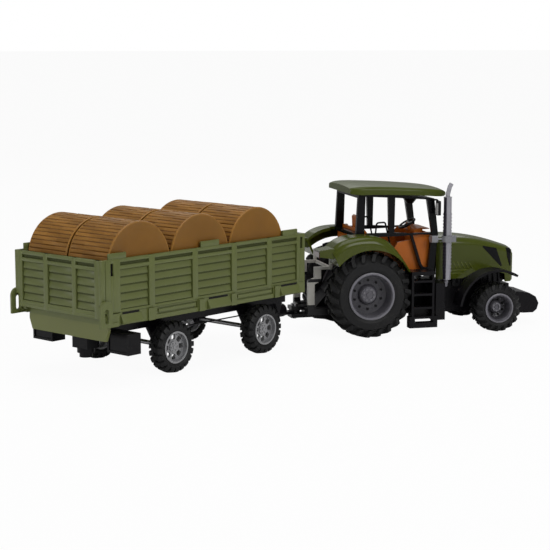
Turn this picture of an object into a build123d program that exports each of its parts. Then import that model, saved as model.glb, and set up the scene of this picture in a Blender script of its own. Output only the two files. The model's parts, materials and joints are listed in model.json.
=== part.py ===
from build123d import *
import os
from math import cos, pi, radians, sin

# Toy farm tractor with a hitched bale trailer, millimetres.
# Origin: on the ground below the middle of the rear axle. +X points the way the tractor
# drives, +Y to its left, +Z up. Trailer pieces are drawn in line behind the tractor and
# are turned about the hitch pin to their parked angle when they are written.

os.makedirs("parts", exist_ok=True)

# ---------------------------------------------------------------- driving sizes
running_gap = 0.06            # radial clearance of a shaft in its bearing
seat_gap = 0.05               # clearance of pieces clipped or pressed together
body_gap = 0.35               # clearance between pieces that move past each other

wheelbase = 130.0
rear_wheel_r = 41.0
rear_tyre_width = 28.0
rear_rim_r = 22.7
front_wheel_r = 24.0
front_tyre_width = 24.0
front_rim_r = 14.4
wheel_face_y = 57.0           # outer face of all four tractor tyres from the centre plane

rear_axle_r = 2.5
front_axle_r = 2.0

chassis_half = 14.0
chassis_floor_z = 15.5
chassis_front_x = wheelbase + 28.0
gearbox_top_z = 57.5
gearbox_front_x = 47.0
gearbox_wall = 3.0

gear_module = 1.0
big_gear_teeth = 24
pinion_teeth = 8
gear_width = 4.0
gear_mesh_play = 0.25         # extra centre distance that gives the teeth backlash
gear_shaft_r = 1.25
flywheel_r = 12.5
flywheel_width = 4.5

hood_rear_x = 75.5
hood_front_x = wheelbase + 27.0
hood_rear_half = 26.5
hood_front_half = 20.0
hood_wall = 1.8
hood_rear_top_z = 92.8
hood_mid_top_z = 89.4
hood_front_top_z = 78.6
hood_bottom_z = 50.0

cab_half = 34.0
cab_plate = 4.0
cab_floor_z = 60.0
roof_half = 38.5
roof_front_x = 84.0
roof_rear_x = -15.0

exhaust_x = 80.6
exhaust_y = -42.0
shield_r = 4.1

fender_wall = 2.0
fender_tyre_gap = 3.0

hitch_x = -60.0
hitch_z = 20.5
hitch_pin_r = 2.0

trailer_yaw = 32.8            # parked angle of the trailer about the hitch pin
body_front_b = 48.0           # distances b are measured back from the hitch pin
body_length = 250.0
body_half = 54.4
bed_bottom_z = 50.7
bed_rim_z = 61.0
bed_floor_z = 63.0
wall_top_z = 105.5
wall_thick = 3.0
wall_recess = 2.0
gate_thick = 4.0

trailer_wheel_r = 22.6
trailer_rim_r = 13.8
trailer_tyre_width = 14.0
trailer_face_s = 53.6
trailer_axle_r = 2.0
trailer_front_axle_b = 99.8
trailer_rear_axle_b = 212.6

bale_r = 35.4
bale_length = 49.4
bale_pitch = 2 * bale_r + 0.6
bale_middle_b = 180.7
bale_gap = 2.0                # gap between the left and right row

# ---------------------------------------------------------------- derived places
body_rear_b = body_front_b + body_length
gate_inner_b = body_rear_b - gate_thick
rear_tyre_inner_y = wheel_face_y - rear_tyre_width
front_tyre_inner_y = wheel_face_y - front_tyre_width
gear_centre = gear_module * (big_gear_teeth + pinion_teeth) / 2 + gear_mesh_play
gate_axis_b = gate_inner_b - 3.2
gate_axis_z = bed_bottom_z + 6.3
TRAILER_PLACE = Location((hitch_x, 0, 0), (0, 0, trailer_yaw))


def save(part, node):
    """Label one finished piece and write it as its own file."""
    part.label = node
    export_step(part, f"parts/{node}.step")


def save_trailer(part, node):
    """Turn a piece drawn in line with the tractor to the parked trailer, then write it."""
    save(TRAILER_PLACE * part, node)


def side_plane(y):
    """A drawing plane seen from the right: local x forward, local y up, normal to the right."""
    return Plane(origin=(0, y, 0), x_dir=(1, 0, 0), z_dir=(0, -1, 0))


def axle_plane(x, y, z):
    """A plane across an axle: local z runs to the left along the axle."""
    return Plane(origin=(x, y, z), x_dir=(1, 0, 0), z_dir=(0, 1, 0))


# ================================================================ tractor wheels
def make_tyre(x, radius, rim_r, inner_y, width, side, lugs, lug_height, lug_width, skew):
    """A lugged tyre: a round-shouldered carcass with two rows of slanted tread bars."""
    carcass_r = radius - lug_height
    low, high = sorted((side * inner_y, side * (inner_y + width)))
    middle = (low + high) / 2
    shoulder = min(width * 0.24, (carcass_r - rim_r) * 0.6)
    bead = min(3.0, (carcass_r - rim_r) * 0.3)
    with BuildPart() as tyre:
        with BuildSketch(Plane.YZ.offset(x)):
            with BuildLine():
                Polyline(
                    (low + 1.2, radius + rim_r),
                    (low, radius + rim_r + bead),
                    (low, radius + carcass_r - shoulder),
                    (low + shoulder, radius + carcass_r),
                    (high - shoulder, radius + carcass_r),
                    (high, radius + carcass_r - shoulder),
                    (high, radius + rim_r + bead),
                    (high - 1.2, radius + rim_r),
                    close=True,
                )
            make_face()
        revolve(axis=Axis((x, 0, radius), (0, 1, 0)))
        for row in (-1, 1):
            lug_middle = middle + row * width * 0.26
            turn = 0 if row < 0 else 180 / lugs
            with Locations(axle_plane(x, lug_middle, radius)):
                with PolarLocations(carcass_r - 1, lugs, start_angle=turn):
                    Box(2 * lug_height + 4, lug_width, width * 0.6, rotation=(row * skew, 0, 0))
        with BuildSketch(Plane.YZ.offset(x)):
            with BuildLine():
                Polyline(
                    (low, radius + rim_r),
                    (low, radius + radius - shoulder),
                    (low + shoulder * 0.45, radius + radius - 1),
                    (middle, radius + radius),
                    (high - shoulder * 0.45, radius + radius - 1),
                    (high, radius + radius - shoulder),
                    (high, radius + rim_r),
                    close=True,
                )
            make_face()
        revolve(axis=Axis((x, 0, radius), (0, 1, 0)), mode=Mode.INTERSECT)
    return tyre.part


def rim_section(face_y, side, points):
    """Turn (radius, depth behind the wheel's outer face) pairs into sketch points."""
    return [(side * (face_y - depth), radius) for radius, depth in points]


def make_tractor_rim(x, wheel_r, rim_r, width, dish, hub_r, axle_r, side, nuts, vents):
    """A deep-dish wheel centre: outer lip, tapered barrel, disc with vents, hub with nuts."""
    seat_r = rim_r - seat_gap
    points = [
        (seat_r, 0.4),
        (seat_r - 0.8, 0),
        (seat_r - 2.0, 0.2),
        (seat_r - 3.0, 1.6),
        (seat_r - 4.6, dish),
        (hub_r + 1.4, dish + 1.2),
        (hub_r, dish - 1.6),
        (hub_r - 1.2, dish - 2.4),
        (0, dish - 2.4),
        (0, dish + 6),
        (hub_r - 1, dish + 6),
        (hub_r, dish + 3.2),
        (seat_r - 3.2, dish + 2.2),
        (seat_r - 1.8, dish + 2.6),
        (seat_r - 1.8, width - 0.6),
        (seat_r, width - 0.6),
    ]
    with BuildPart() as rim:
        with BuildSketch(Plane.YZ.offset(x)):
            with BuildLine():
                Polyline(
                    *[(a, wheel_r + b) for a, b in rim_section(wheel_face_y, side, points)],
                    close=True,
                )
            make_face()
        revolve(axis=Axis((x, 0, wheel_r), (0, 1, 0)))
        disc_y = side * (wheel_face_y - dish)
        with Locations(axle_plane(x, disc_y, wheel_r)):
            with PolarLocations((hub_r + seat_r - 3.6) / 2, vents):
                Cylinder(1.15, 2.0, mode=Mode.SUBTRACT)
        hub_y = side * (wheel_face_y - dish + 2.4)
        with Locations(axle_plane(x, hub_y, wheel_r)):
            with PolarLocations(hub_r * 0.62, nuts):
                Cylinder(0.85, 1.6)
            Cylinder(hub_r * 0.24, 2.2)
        bore_y = side * (wheel_face_y - dish - 6)
        with Locations(axle_plane(x, bore_y, wheel_r)):
            Cylinder(axle_r, 2 * 6.0, mode=Mode.SUBTRACT)
    return rim.part


rear_dish = 13.0
front_dish = 11.0
rear_hub_depth = rear_dish + 0.05
front_hub_depth = front_dish + 0.05
rear_tyres = []
rear_rims = []
front_tyres = []
front_rims = []
for side in (1, -1):
    rear_tyre = make_tyre(
        0,
        rear_wheel_r,
        rear_rim_r,
        rear_tyre_inner_y,
        rear_tyre_width,
        side,
        22,
        2.6,
        3.2,
        32,
    )
    rear_tyres.append(rear_tyre)
    rear_rim = make_tractor_rim(
        0, rear_wheel_r, rear_rim_r, rear_tyre_width, rear_dish, 8.6, rear_axle_r, side, 8, 10
    )
    rear_rims.append(rear_rim)
    front_tyre = make_tyre(
        wheelbase, front_wheel_r, front_rim_r, front_tyre_inner_y, front_tyre_width, side, 18, 2.0, 2.6, 30
    )
    front_tyres.append(front_tyre)
    front_rim = make_tractor_rim(
        wheelbase, front_wheel_r, front_rim_r, front_tyre_width, front_dish, 5.6, front_axle_r, side, 6, 8
    )
    front_rims.append(front_rim)
save(Compound(children=rear_tyres), "rear_tyres")
save(Compound(children=rear_rims), "rear_rims")
save(Compound(children=front_tyres), "front_tyres")
save(Compound(children=front_rims), "front_rims")

front_shaft_half = wheel_face_y - front_hub_depth
with BuildPart() as front_axle:
    with BuildSketch(axle_plane(wheelbase, 0, front_wheel_r)):
        Circle(front_axle_r - seat_gap)
    extrude(amount=front_shaft_half, both=True)
save(front_axle.part, "front_axle")


# ================================================================ friction drive
def gear_sketch(teeth, phase):
    """Straight-flanked teeth on a disc, centred on the sketch plane, with running backlash."""
    pitch_r = gear_module * teeth / 2
    root_r = pitch_r - 1.2 * gear_module
    tip_r = pitch_r + 0.85 * gear_module
    pitch = 2 * pi * pitch_r / teeth
    Circle(root_r)
    with PolarLocations(0, teeth, start_angle=phase):
        Polygon(
            (root_r - 0.5, -0.34 * pitch),
            (pitch_r, -0.20 * pitch),
            (tip_r, -0.09 * pitch),
            (tip_r, 0.09 * pitch),
            (pitch_r, 0.20 * pitch),
            (root_r - 0.5, 0.34 * pitch),
            align=None,
        )


rear_shaft_half = wheel_face_y - rear_hub_depth
drive_gear_y = 1.0
idler_gear_y = drive_gear_y - gear_width - 1.0
flywheel_y = drive_gear_y + gear_width + 1.0
with BuildPart() as rear_axle:
    with BuildSketch(axle_plane(0, 0, rear_wheel_r)):
        Circle(rear_axle_r - seat_gap)
    extrude(amount=rear_shaft_half, both=True)
save(rear_axle.part, "rear_axle")

with BuildPart() as drive_gear:
    with BuildSketch(axle_plane(0, drive_gear_y, rear_wheel_r)):
        gear_sketch(big_gear_teeth, 0)
        Circle(rear_axle_r, mode=Mode.SUBTRACT)
    extrude(amount=gear_width)
save(drive_gear.part, "drive_gear")

bearing_half = chassis_half - 1.0
with BuildPart() as idler_gear:
    with BuildSketch(axle_plane(gear_centre, drive_gear_y, rear_wheel_r)):
        gear_sketch(pinion_teeth, 180 / pinion_teeth)
    extrude(amount=gear_width)
    with BuildSketch(axle_plane(gear_centre, idler_gear_y, rear_wheel_r)):
        gear_sketch(big_gear_teeth, 0)
    extrude(amount=gear_width)
    with BuildSketch(axle_plane(gear_centre, -bearing_half, rear_wheel_r)):
        Circle(gear_shaft_r)
    extrude(amount=2 * bearing_half)
save(idler_gear.part, "idler_gear")

with BuildPart() as flywheel:
    with BuildSketch(axle_plane(2 * gear_centre, idler_gear_y, rear_wheel_r)):
        gear_sketch(pinion_teeth, 180 / pinion_teeth)
    extrude(amount=gear_width)
    with BuildSketch(axle_plane(2 * gear_centre, flywheel_y, rear_wheel_r)):
        Circle(flywheel_r)
    extrude(amount=flywheel_width)
    with BuildSketch(axle_plane(2 * gear_centre, -bearing_half, rear_wheel_r)):
        Circle(gear_shaft_r)
    extrude(amount=2 * bearing_half)
save(flywheel.part, "flywheel")

# ================================================================ chassis
weight_x = chassis_front_x + 4.0
clevis_low = hitch_z - 5.5
clevis_high = hitch_z + 5.5
eye_thick = 3.0
screw_spots = [(60, -8), (60, 8), (108, -8), (108, 8)]
with BuildPart() as chassis:
    with BuildSketch(side_plane(-chassis_half)):
        with BuildLine():
            Polyline(
                (hitch_x - 5, clevis_low),
                (hitch_x - 5, clevis_high),
                (-43, clevis_high),
                (-30, 40),
                (-21, gearbox_top_z),
                (gearbox_front_x + gearbox_wall, gearbox_top_z),
                (gearbox_front_x + gearbox_wall + 6, hood_bottom_z - 0.3),
                (wheelbase - 22, hood_bottom_z - 6),
                (chassis_front_x, 41),
                (chassis_front_x, 20),
                (chassis_front_x - 8, chassis_floor_z),
                (20, chassis_floor_z),
                (-8, 12),
                (-28, 13),
                (-44, clevis_low),
                close=True,
            )
        make_face()
    extrude(amount=-2 * chassis_half)
    # hitch end is narrower than the gearbox
    with BuildSketch(Plane.XY.offset(5)):
        with Locations((hitch_x + 4, 12), (hitch_x + 4, -12)):
            Rectangle(24, 10)
    extrude(amount=28, mode=Mode.SUBTRACT)
    # slot and pin hole of the hitch
    with BuildSketch(Plane.XY.offset(hitch_z - eye_thick / 2 - 0.4)):
        with Locations((hitch_x - 1, 0)):
            Rectangle(20, 2 * chassis_half)
    extrude(amount=eye_thick + 0.8, mode=Mode.SUBTRACT)
    # axle tubes and front beam
    with BuildSketch(axle_plane(0, 0, rear_wheel_r)):
        Circle(7.5)
    extrude(amount=rear_tyre_inner_y - 1.0, both=True)
    with BuildSketch(axle_plane(wheelbase, 0, front_wheel_r)):
        RectangleRounded(15, 11, 3)
    extrude(amount=front_tyre_inner_y - 1.0, both=True)
    # gearbox cavity, open at the top
    with BuildSketch(Plane.XY.offset(rear_wheel_r - 15)):
        with Locations(((gearbox_front_x - 16) / 2, 0)):
            Rectangle(gearbox_front_x + 16, 2 * (chassis_half - gearbox_wall))
    extrude(amount=40, mode=Mode.SUBTRACT)
    # bearings
    with BuildSketch(axle_plane(0, 0, rear_wheel_r)):
        Circle(rear_axle_r - seat_gap + running_gap)
    extrude(amount=rear_tyre_inner_y, both=True, mode=Mode.SUBTRACT)
    with BuildSketch(axle_plane(wheelbase, 0, front_wheel_r)):
        Circle(front_axle_r - seat_gap + running_gap)
    extrude(amount=front_tyre_inner_y, both=True, mode=Mode.SUBTRACT)
    with BuildSketch(axle_plane(0, 0, rear_wheel_r)):
        with Locations((gear_centre, 0), (2 * gear_centre, 0)):
            Circle(gear_shaft_r + running_gap)
    extrude(amount=bearing_half + 0.3, both=True, mode=Mode.SUBTRACT)
    # screw holes from below
    with Locations(*[(x, y, chassis_floor_z) for x, y in screw_spots]):
        Cylinder(1.2, 20, mode=Mode.SUBTRACT)
        Cylinder(2.7, 3.6, mode=Mode.SUBTRACT)
    # hitch pin hole
    with Locations((hitch_x, 0, hitch_z)):
        Cylinder(hitch_pin_r, 30, mode=Mode.SUBTRACT)
save(chassis.part, "chassis")

with BuildPart() as chassis_screws:
    for x, y in screw_spots:
        with BuildSketch(Plane.XY.offset(chassis_floor_z + 0.2)):
            with Locations((x, y)):
                Circle(2.4)
        extrude(amount=1.6)
        with BuildSketch(Plane.XY.offset(chassis_floor_z + 1.8)):
            with Locations((x, y)):
                Circle(1.1)
        extrude(amount=7)
        with BuildSketch(Plane.XY.offset(chassis_floor_z + 0.2)):
            with Locations((x, y)):
                Rectangle(2.6, 0.6)
                Rectangle(0.6, 2.6)
        extrude(amount=0.8, mode=Mode.SUBTRACT)
save(chassis_screws.part, "chassis_screws")

with BuildPart() as gearbox_cover:
    with BuildSketch(Plane.XY.offset(gearbox_top_z)):
        with Locations(((gearbox_front_x - 16) / 2, 0)):
            Rectangle(gearbox_front_x + 16 + 4, 2 * chassis_half)
    extrude(amount=1.6)
save(gearbox_cover.part, "gearbox_cover")

with BuildPart() as hitch_pin:
    with BuildSketch(Plane.XY.offset(clevis_low - 1.5)):
        with Locations((hitch_x, 0)):
            Circle(hitch_pin_r - seat_gap)
    extrude(amount=clevis_high - clevis_low + 3)
    with BuildSketch(Plane.XY.offset(clevis_high)):
        with Locations((hitch_x, 0)):
            Circle(hitch_pin_r + 1.6)
    extrude(amount=2.2)
save(hitch_pin.part, "hitch_pin")

# ---------------------------------------------------------------- front weight
weight_half = 21.0
weight_low_z = 11.5
with BuildPart() as front_weight:
    with BuildSketch(side_plane(-weight_half)):
        with BuildLine():
            Polyline(
                (weight_x, weight_low_z + 1),
                (weight_x, 33.5),
                (weight_x + 7, 33),
                (weight_x + 16, 31.2),
                (weight_x + 22.6, 27.4),
                (weight_x + 25.8, 20.8),
                (weight_x + 24, 14.6),
                (weight_x + 20, weight_low_z),
                (weight_x + 10, weight_low_z),
                close=True,
            )
        make_face()
    extrude(amount=-2 * weight_half)
    for outer_y in (-weight_half, weight_half):
        side_edges = front_weight.edges().filter_by(lambda e: abs(e.center().Y - outer_y) < 0.1)
        fillet(side_edges, 1.2)
    for y in (-7, 7):
        with BuildSketch(Plane.XZ.offset(-y - 0.5)):
            with BuildLine():
                Polyline(
                    (weight_x + 6, 40), (weight_x + 30, 40), (weight_x + 30, 8), (weight_x + 16, 8),
                    (weight_x + 24, 20.5), (weight_x + 17, 32.5), close=True,
                )
            make_face()
        extrude(amount=1.0, mode=Mode.SUBTRACT)
    for y in (-14, 14):
        with Locations(Location((weight_x + 25, y, 20.5), (0, 90, 0))):
            Cylinder(2.2, 4, mode=Mode.SUBTRACT)
save(front_weight.part, "front_weight")

with BuildPart() as weight_carrier:
    with BuildSketch(side_plane(-10)):
        with BuildLine():
            Polyline(
                (chassis_front_x + seat_gap, 22), (chassis_front_x + seat_gap, 39), (weight_x - 0.6, 33),
                (weight_x - 0.6, 19), (chassis_front_x + 1.2, 19), close=True,
            )
        make_face()
    extrude(amount=-20)
    with BuildSketch(Plane.YZ.offset(weight_x - 0.6)):
        with Locations((0, 29)):
            Rectangle(10, 8)
    extrude(amount=0.55)
save(weight_carrier.part, "weight_carrier")


# ================================================================ hood
hood_mid_x = hood_rear_x + 43.0
hood_sections = [
    # (distance along the hood, half width, height of the crown, corner radius)
    (hood_rear_x, hood_rear_half, hood_rear_top_z, 7.0),
    (hood_rear_x + 22, hood_rear_half, hood_rear_top_z - 0.9, 7.0),
    (hood_mid_x, hood_rear_half - 0.9, hood_mid_top_z, 6.4),
    (hood_mid_x + 22, hood_front_half + 3.2, hood_mid_top_z - 5.3, 5.8),
    (hood_front_x, hood_front_half - 0.5, hood_front_top_z, 5.2),
]


def hood_block(inset, low_z):
    """The hood as one smooth body run through its cross sections, drawn in by an inset."""
    with BuildPart() as block:
        for x, half, top_z, corner in hood_sections:
            side_y = half - inset
            shoulder_z = top_z - 1.6 - inset
            radius = corner - inset * 0.6
            flat_y = side_y - radius
            with BuildSketch(Plane.YZ.offset(x)):
                with BuildLine():
                    Line((-side_y, shoulder_z - radius), (-side_y, low_z))
                    Line((-side_y, low_z), (side_y, low_z))
                    Line((side_y, low_z), (side_y, shoulder_z - radius))
                    RadiusArc((side_y, shoulder_z - radius), (flat_y, shoulder_z), -radius)
                    ThreePointArc((flat_y, shoulder_z), (0, top_z - inset), (-flat_y, shoulder_z))
                    RadiusArc((-flat_y, shoulder_z), (-side_y, shoulder_z - radius), -radius)
                make_face()
        loft()
    return block.part


hood_low_z = hood_bottom_z - 6.0
nose_bulge = 2.4
with BuildPart() as hood:
    add(hood_block(0, hood_low_z))
    # nose, bulging forward of the last section
    with BuildSketch(Plane.YZ.offset(hood_front_x)):
        with BuildLine():
            nose_half = hood_front_half - 0.5
            nose_low = (nose_half, hood_low_z)
            Polyline(
                (-nose_half, hood_low_z),
                nose_low,
                (nose_half, hood_front_top_z - 6.8),
                (nose_half - 5.2, hood_front_top_z - 1.6),
                (-nose_half + 5.2, hood_front_top_z - 1.6),
                (-nose_half, hood_front_top_z - 6.8),
                close=True,
            )
        make_face()
    extrude(amount=nose_bulge, taper=38)
    # arch over the front wheels
    with BuildSketch(side_plane(-40)):
        with BuildLine():
            arch = ThreePointArc(
                (wheelbase - 26, hood_bottom_z),
                (wheelbase - 3, hood_bottom_z + 5.5),
                (hood_front_x - 7, hood_bottom_z + 2),
            )
            Polyline(
                arch @ 1,
                (hood_front_x - 6, hood_low_z - 1),
                (hood_rear_x - 1, hood_low_z - 1),
                (hood_rear_x - 1, hood_bottom_z),
                arch @ 0,
            )
        make_face()
    extrude(amount=-80, mode=Mode.SUBTRACT)
    with BuildPart(mode=Mode.PRIVATE) as hood_room:
        add(hood_block(hood_wall, hood_low_z - 3))
        with Locations((hood_rear_x, 0, hood_low_z)):
            Box(2 * (hood_front_x - hood_wall - 1.0 - hood_rear_x), 80, 140, mode=Mode.INTERSECT)
    add(hood_room.part, mode=Mode.SUBTRACT)
save(hood.part, "hood")

# ---------------------------------------------------------------- headlamps and nose grille
lamp_points = [(122.8, 81.5), (139.5, 78.2), (147.6, 57.5)]
headlamps = []
for side in (1, -1):
    with BuildPart() as headlamp:
        with BuildSketch(side_plane(0)) as lamp_face:
            Polygon(*lamp_points, align=None)
            fillet(lamp_face.vertices(), 0.8)
        extrude(amount=-side * 40)
    lamp_skin = headlamp.part & hood.part
    with BuildPart() as lamp_lens:
        add(lamp_skin.moved(Location((0, side * 0.45, 0))))
        add(hood.part, mode=Mode.SUBTRACT)
    lens = lamp_lens.part.solids().sort_by(SortBy.VOLUME)[-1]
    headlamps.append(Part(lens.wrapped))
save(Compound(children=headlamps), "headlamps")

nose_x = hood_front_x + nose_bulge
with BuildPart() as nose_grille:
    with BuildSketch(Plane.YZ.offset(nose_x + 0.1)):
        Polygon((-13, 74.4), (13, 74.4), (10, 60), (-10, 60), align=None)
    extrude(amount=0.9)
    with BuildSketch(Plane.YZ.offset(nose_x + 0.5)):
        with Locations(*[(0, 62.2 + 3.1 * i) for i in range(4)]):
            Rectangle(19, 1.4)
    extrude(amount=0.6, mode=Mode.SUBTRACT)
save(nose_grille.part, "nose_grille")

# ================================================================ cab
belt_z = 98.0
pillar_top_z = 131.5
front_opening_low_z = 63.5
door_bar_z = 96.0


def cab_side_sketch(y):
    """One side of the cab: three pillars, belt rail, slanted door strap and door bar."""
    with BuildSketch(side_plane(y)) as cab_side:
        Polygon(
            (-9.0, belt_z - 3.5),
            (-6.6, pillar_top_z + 5),
            (30, pillar_top_z + 3),
            (70, pillar_top_z - 1.5),
            (74.2, door_bar_z),
            (70.5, cab_floor_z - 1.5),
            (59.4, cab_floor_z - 1.5),
            (55.4, cab_floor_z + 6),
            (46.2, belt_z - 3),
            (30, belt_z - 3.5),
            align=None,
        )
        Polygon(
            (0.4, pillar_top_z + 1.8),
            (23.4, pillar_top_z + 0.4),
            (24.4, belt_z),
            (-0.6, belt_z),
            align=None,
            mode=Mode.SUBTRACT,
        )
        Polygon(
            (30.2, pillar_top_z),
            (62.6, pillar_top_z - 2.4),
            (68.0, door_bar_z + 0.9),
            (46.4, door_bar_z + 0.9),
            (29.6, belt_z),
            align=None,
            mode=Mode.SUBTRACT,
        )
        Polygon(
            (48.4, door_bar_z - 0.7),
            (67.8, door_bar_z - 0.7),
            (64.4, front_opening_low_z),
            (60.2, front_opening_low_z),
            (57.6, cab_floor_z + 7),
            align=None,
            mode=Mode.SUBTRACT,
        )
    return cab_side.sketch


header_low_z = pillar_top_z - 0.5
with BuildPart() as cab_frame:
    for y in (-cab_half, cab_half - cab_plate):
        extrude(cab_side_sketch(y), amount=-cab_plate)
    # rear header and rear sill between the two sides
    with BuildSketch(side_plane(-cab_half + 1)):
        Polygon(
            (-6.8, header_low_z + 1),
            (-6.6, pillar_top_z + 5),
            (-0.5, pillar_top_z + 4.6),
            (-0.7, header_low_z + 1),
            align=None,
        )
        Polygon((-9.0, belt_z - 3.5), (-8.8, belt_z), (-2.8, belt_z), (-3.0, belt_z - 3.5), align=None)
        Polygon(
            (62.4, header_low_z - 1.0),
            (62.4, pillar_top_z - 0.9),
            (70, pillar_top_z - 1.5),
            (70.3, header_low_z - 2.2),
            align=None,
        )
        Polygon(
            (65.2, cab_floor_z - 1.5),
            (66.4, cab_floor_z + 4),
            (70.9, cab_floor_z + 4),
            (70.5, cab_floor_z - 1.5),
            align=None,
        )
    extrude(amount=-2 * cab_half + 2)
save(cab_frame.part, "cab_frame")

roof_sections = [
    # (distance along the tractor, half width, underside height, crown height, corner radius)
    (roof_rear_x, roof_half - 4.5, 136.4, 142.8, 2.6),
    (roof_rear_x + 6, roof_half - 0.8, 135.6, 144.2, 3.6),
    (12, roof_half, 135.3, 144.4, 3.8),
    (42, roof_half, 134.2, 142.8, 3.6),
    (68, roof_half - 1.6, 132.4, 140.6, 3.4),
    (roof_front_x - 4, roof_half - 6.5, 131.9, 138.6, 2.8),
    (roof_front_x, roof_half - 11.5, 133.0, 136.8, 1.6),
]
with BuildPart() as roof:
    for x, half, low_z, top_z, corner in roof_sections:
        shoulder_z = top_z - 1.4
        with BuildSketch(Plane.YZ.offset(x)):
            with BuildLine():
                Line((-half, shoulder_z - corner), (-half, low_z))
                Line((-half, low_z), (half, low_z))
                Line((half, low_z), (half, shoulder_z - corner))
                RadiusArc((half, shoulder_z - corner), (half - corner, shoulder_z), -corner)
                ThreePointArc((half - corner, shoulder_z), (0, top_z), (-half + corner, shoulder_z))
                RadiusArc((-half + corner, shoulder_z), (-half, shoulder_z - corner), -corner)
            make_face()
    loft()
    # hollow under side that fits over the cab frame
    with BuildSketch(side_plane(-cab_half - 0.2)):
        Polygon((-8.5, 120), (-8.5, 137.1), (27, 136.9), (72, 131.3), (72, 120), align=None)
    extrude(amount=-2 * cab_half - 0.4, mode=Mode.SUBTRACT)
save(roof.part, "roof")

with BuildPart() as roof_lining:
    with BuildSketch(side_plane(-cab_half + cab_plate + 0.1)):
        Polygon(
            (-0.3, 133.4),
            (-0.3, 135.4),
            (24, 134.2),
            (62.2, 130.4),
            (62.2, 128.9),
            (24, 132.2),
            align=None,
        )
    extrude(amount=-2 * (cab_half - cab_plate - 0.1))
save(roof_lining.part, "roof_lining")

dome_x = 59.0
dome_y = 4.0
dome_r = 7.4
dome_top_z = 128.85
with BuildPart() as roof_dome:
    with BuildSketch(Plane.XY.offset(dome_top_z)):
        with Locations((dome_x, dome_y)):
            Circle(dome_r)
    extrude(amount=-1.6)
    with BuildSketch(Plane.XY.offset(dome_top_z - 1.6)):
        with Locations((dome_x, dome_y)):
            Circle(dome_r)
    extrude(amount=-5.2, taper=38)
save(roof_dome.part, "roof_dome")

# ---------------------------------------------------------------- cab interior
tub_half = rear_tyre_inner_y - 0.8
tub_wall = 1.6
with BuildPart() as cab_tub:
    with BuildSketch(side_plane(-tub_half)):
        Polygon(
            (-2.4, belt_z + 2.8),
            (-2.4, belt_z - 3.8),
            (-7.5, belt_z - 3.8),
            (-7.5, 84),
            (-2, 62.0),
            (2, cab_floor_z + 0.2),
            (64.9, cab_floor_z + 0.2),
            (66.0, cab_floor_z + 4.4),
            (69.2, belt_z - 4),
            (66, belt_z - 1.2),
            (54, belt_z - 2.0),
            (48, belt_z - 8.0),
            (35.3, belt_z - 10.0),
            (29, 78),
            (24, 82.5),
            (18, 87),
            (11, belt_z - 9.4),
            (2, belt_z + 2.8),
            align=None,
        )
    extrude(amount=-2 * tub_half)
    with BuildSketch(side_plane(-tub_half + tub_wall)):
        Polygon(
            (-0.8, belt_z + 6), (-0.8, belt_z - 5.4), (-5.6, belt_z - 5.4), (-5.6, 84.2), (0, 63.4),
            (63.2, cab_floor_z + 2.0), (66.4, belt_z + 6), align=None,
        )
    extrude(amount=-2 * (tub_half - tub_wall), mode=Mode.SUBTRACT)
save(cab_tub.part, "cab_tub")

with BuildPart() as dash_console:
    with BuildSketch(side_plane(-15)):
        with BuildLine():
            Polyline(
                (62.8, cab_floor_z + 2.3),
                (56.5, cab_floor_z + 2.3),
                (58.4, 90),
                (56.4, 96),
                (58, 98.2),
            )
            Spline((58, 98.2), (64, 99.6), (72.4, 99.0))
            Polyline((72.4, 99.0), (72.8, 98.2), (65.4, 98.0), (65.0, 92), (62.8, cab_floor_z + 2.3))
        make_face()
    extrude(amount=-30)
    fillet(
        dash_console.edges().filter_by(lambda e: e.center().Z > 98 and abs(abs(e.center().Y) - 15) < 0.1),
        0.4,
    )
save(dash_console.part, "dash_console")

seat_half = 11.0
with BuildPart() as seat:
    with BuildSketch(side_plane(-seat_half)):
        with BuildLine():
            Polyline((22, cab_floor_z + 14), (23.5, cab_floor_z + 18), (21.5, cab_floor_z + 20.5))
            Spline(
                (21.5, cab_floor_z + 20.5),
                (12, cab_floor_z + 19.6),
                (8, cab_floor_z + 23),
                (6.6, 104),
                (6.0, 111.0),
            )
            Polyline(
                (6.0, 111.0),
                (3.4, 112.0),
                (1.4, 110.6),
                (2.6, cab_floor_z + 24),
                (4.4, cab_floor_z + 14),
                (22, cab_floor_z + 14),
            )
        make_face()
    extrude(amount=-2 * seat_half)
    with BuildSketch(Plane.XY.offset(63.6)):
        with Locations((13, 0)):
            RectangleRounded(13, 15, 2)
    extrude(until=Until.NEXT)
save(seat.part, "seat")

with BuildPart() as grab_rails:
    for side in (-1, 1):
        y = side * (cab_half - cab_plate - 4.2)
        with BuildLine() as rail_path:
            FilletPolyline(
                (12, y, belt_z - 13), (14.5, y, belt_z + 9), (23, y, belt_z + 9.4), (28.5, y, belt_z - 13),
                radius=2.2,
            )
        with BuildSketch(Plane(origin=rail_path.line @ 0, z_dir=rail_path.line % 0)):
            Circle(0.8)
        sweep(path=rail_path.line)
save(grab_rails.part, "grab_rails")

# steering column and wheel, leaning back towards the seat
wheel_tilt = 29.7
wheel_centre = (54.7, 0, 102.6)
steering_ring_r = 8.4
column_plane = Plane(
    origin=wheel_centre,
    x_dir=(0, 1, 0),
    z_dir=(-sin(radians(wheel_tilt)), 0, cos(radians(wheel_tilt))),
)
with BuildPart() as steering_column:
    with BuildSketch(column_plane.offset(-8.4)):
        Circle(1.9)
    extrude(amount=6.2)
    with BuildSketch(column_plane.offset(-2.2)):
        Circle(0.9)
    extrude(amount=3.4)
    add(dash_console.part, mode=Mode.SUBTRACT)
column_solid = steering_column.part.solids().sort_by(SortBy.VOLUME)[-1]
save(Part(column_solid.wrapped), "steering_column")

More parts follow.
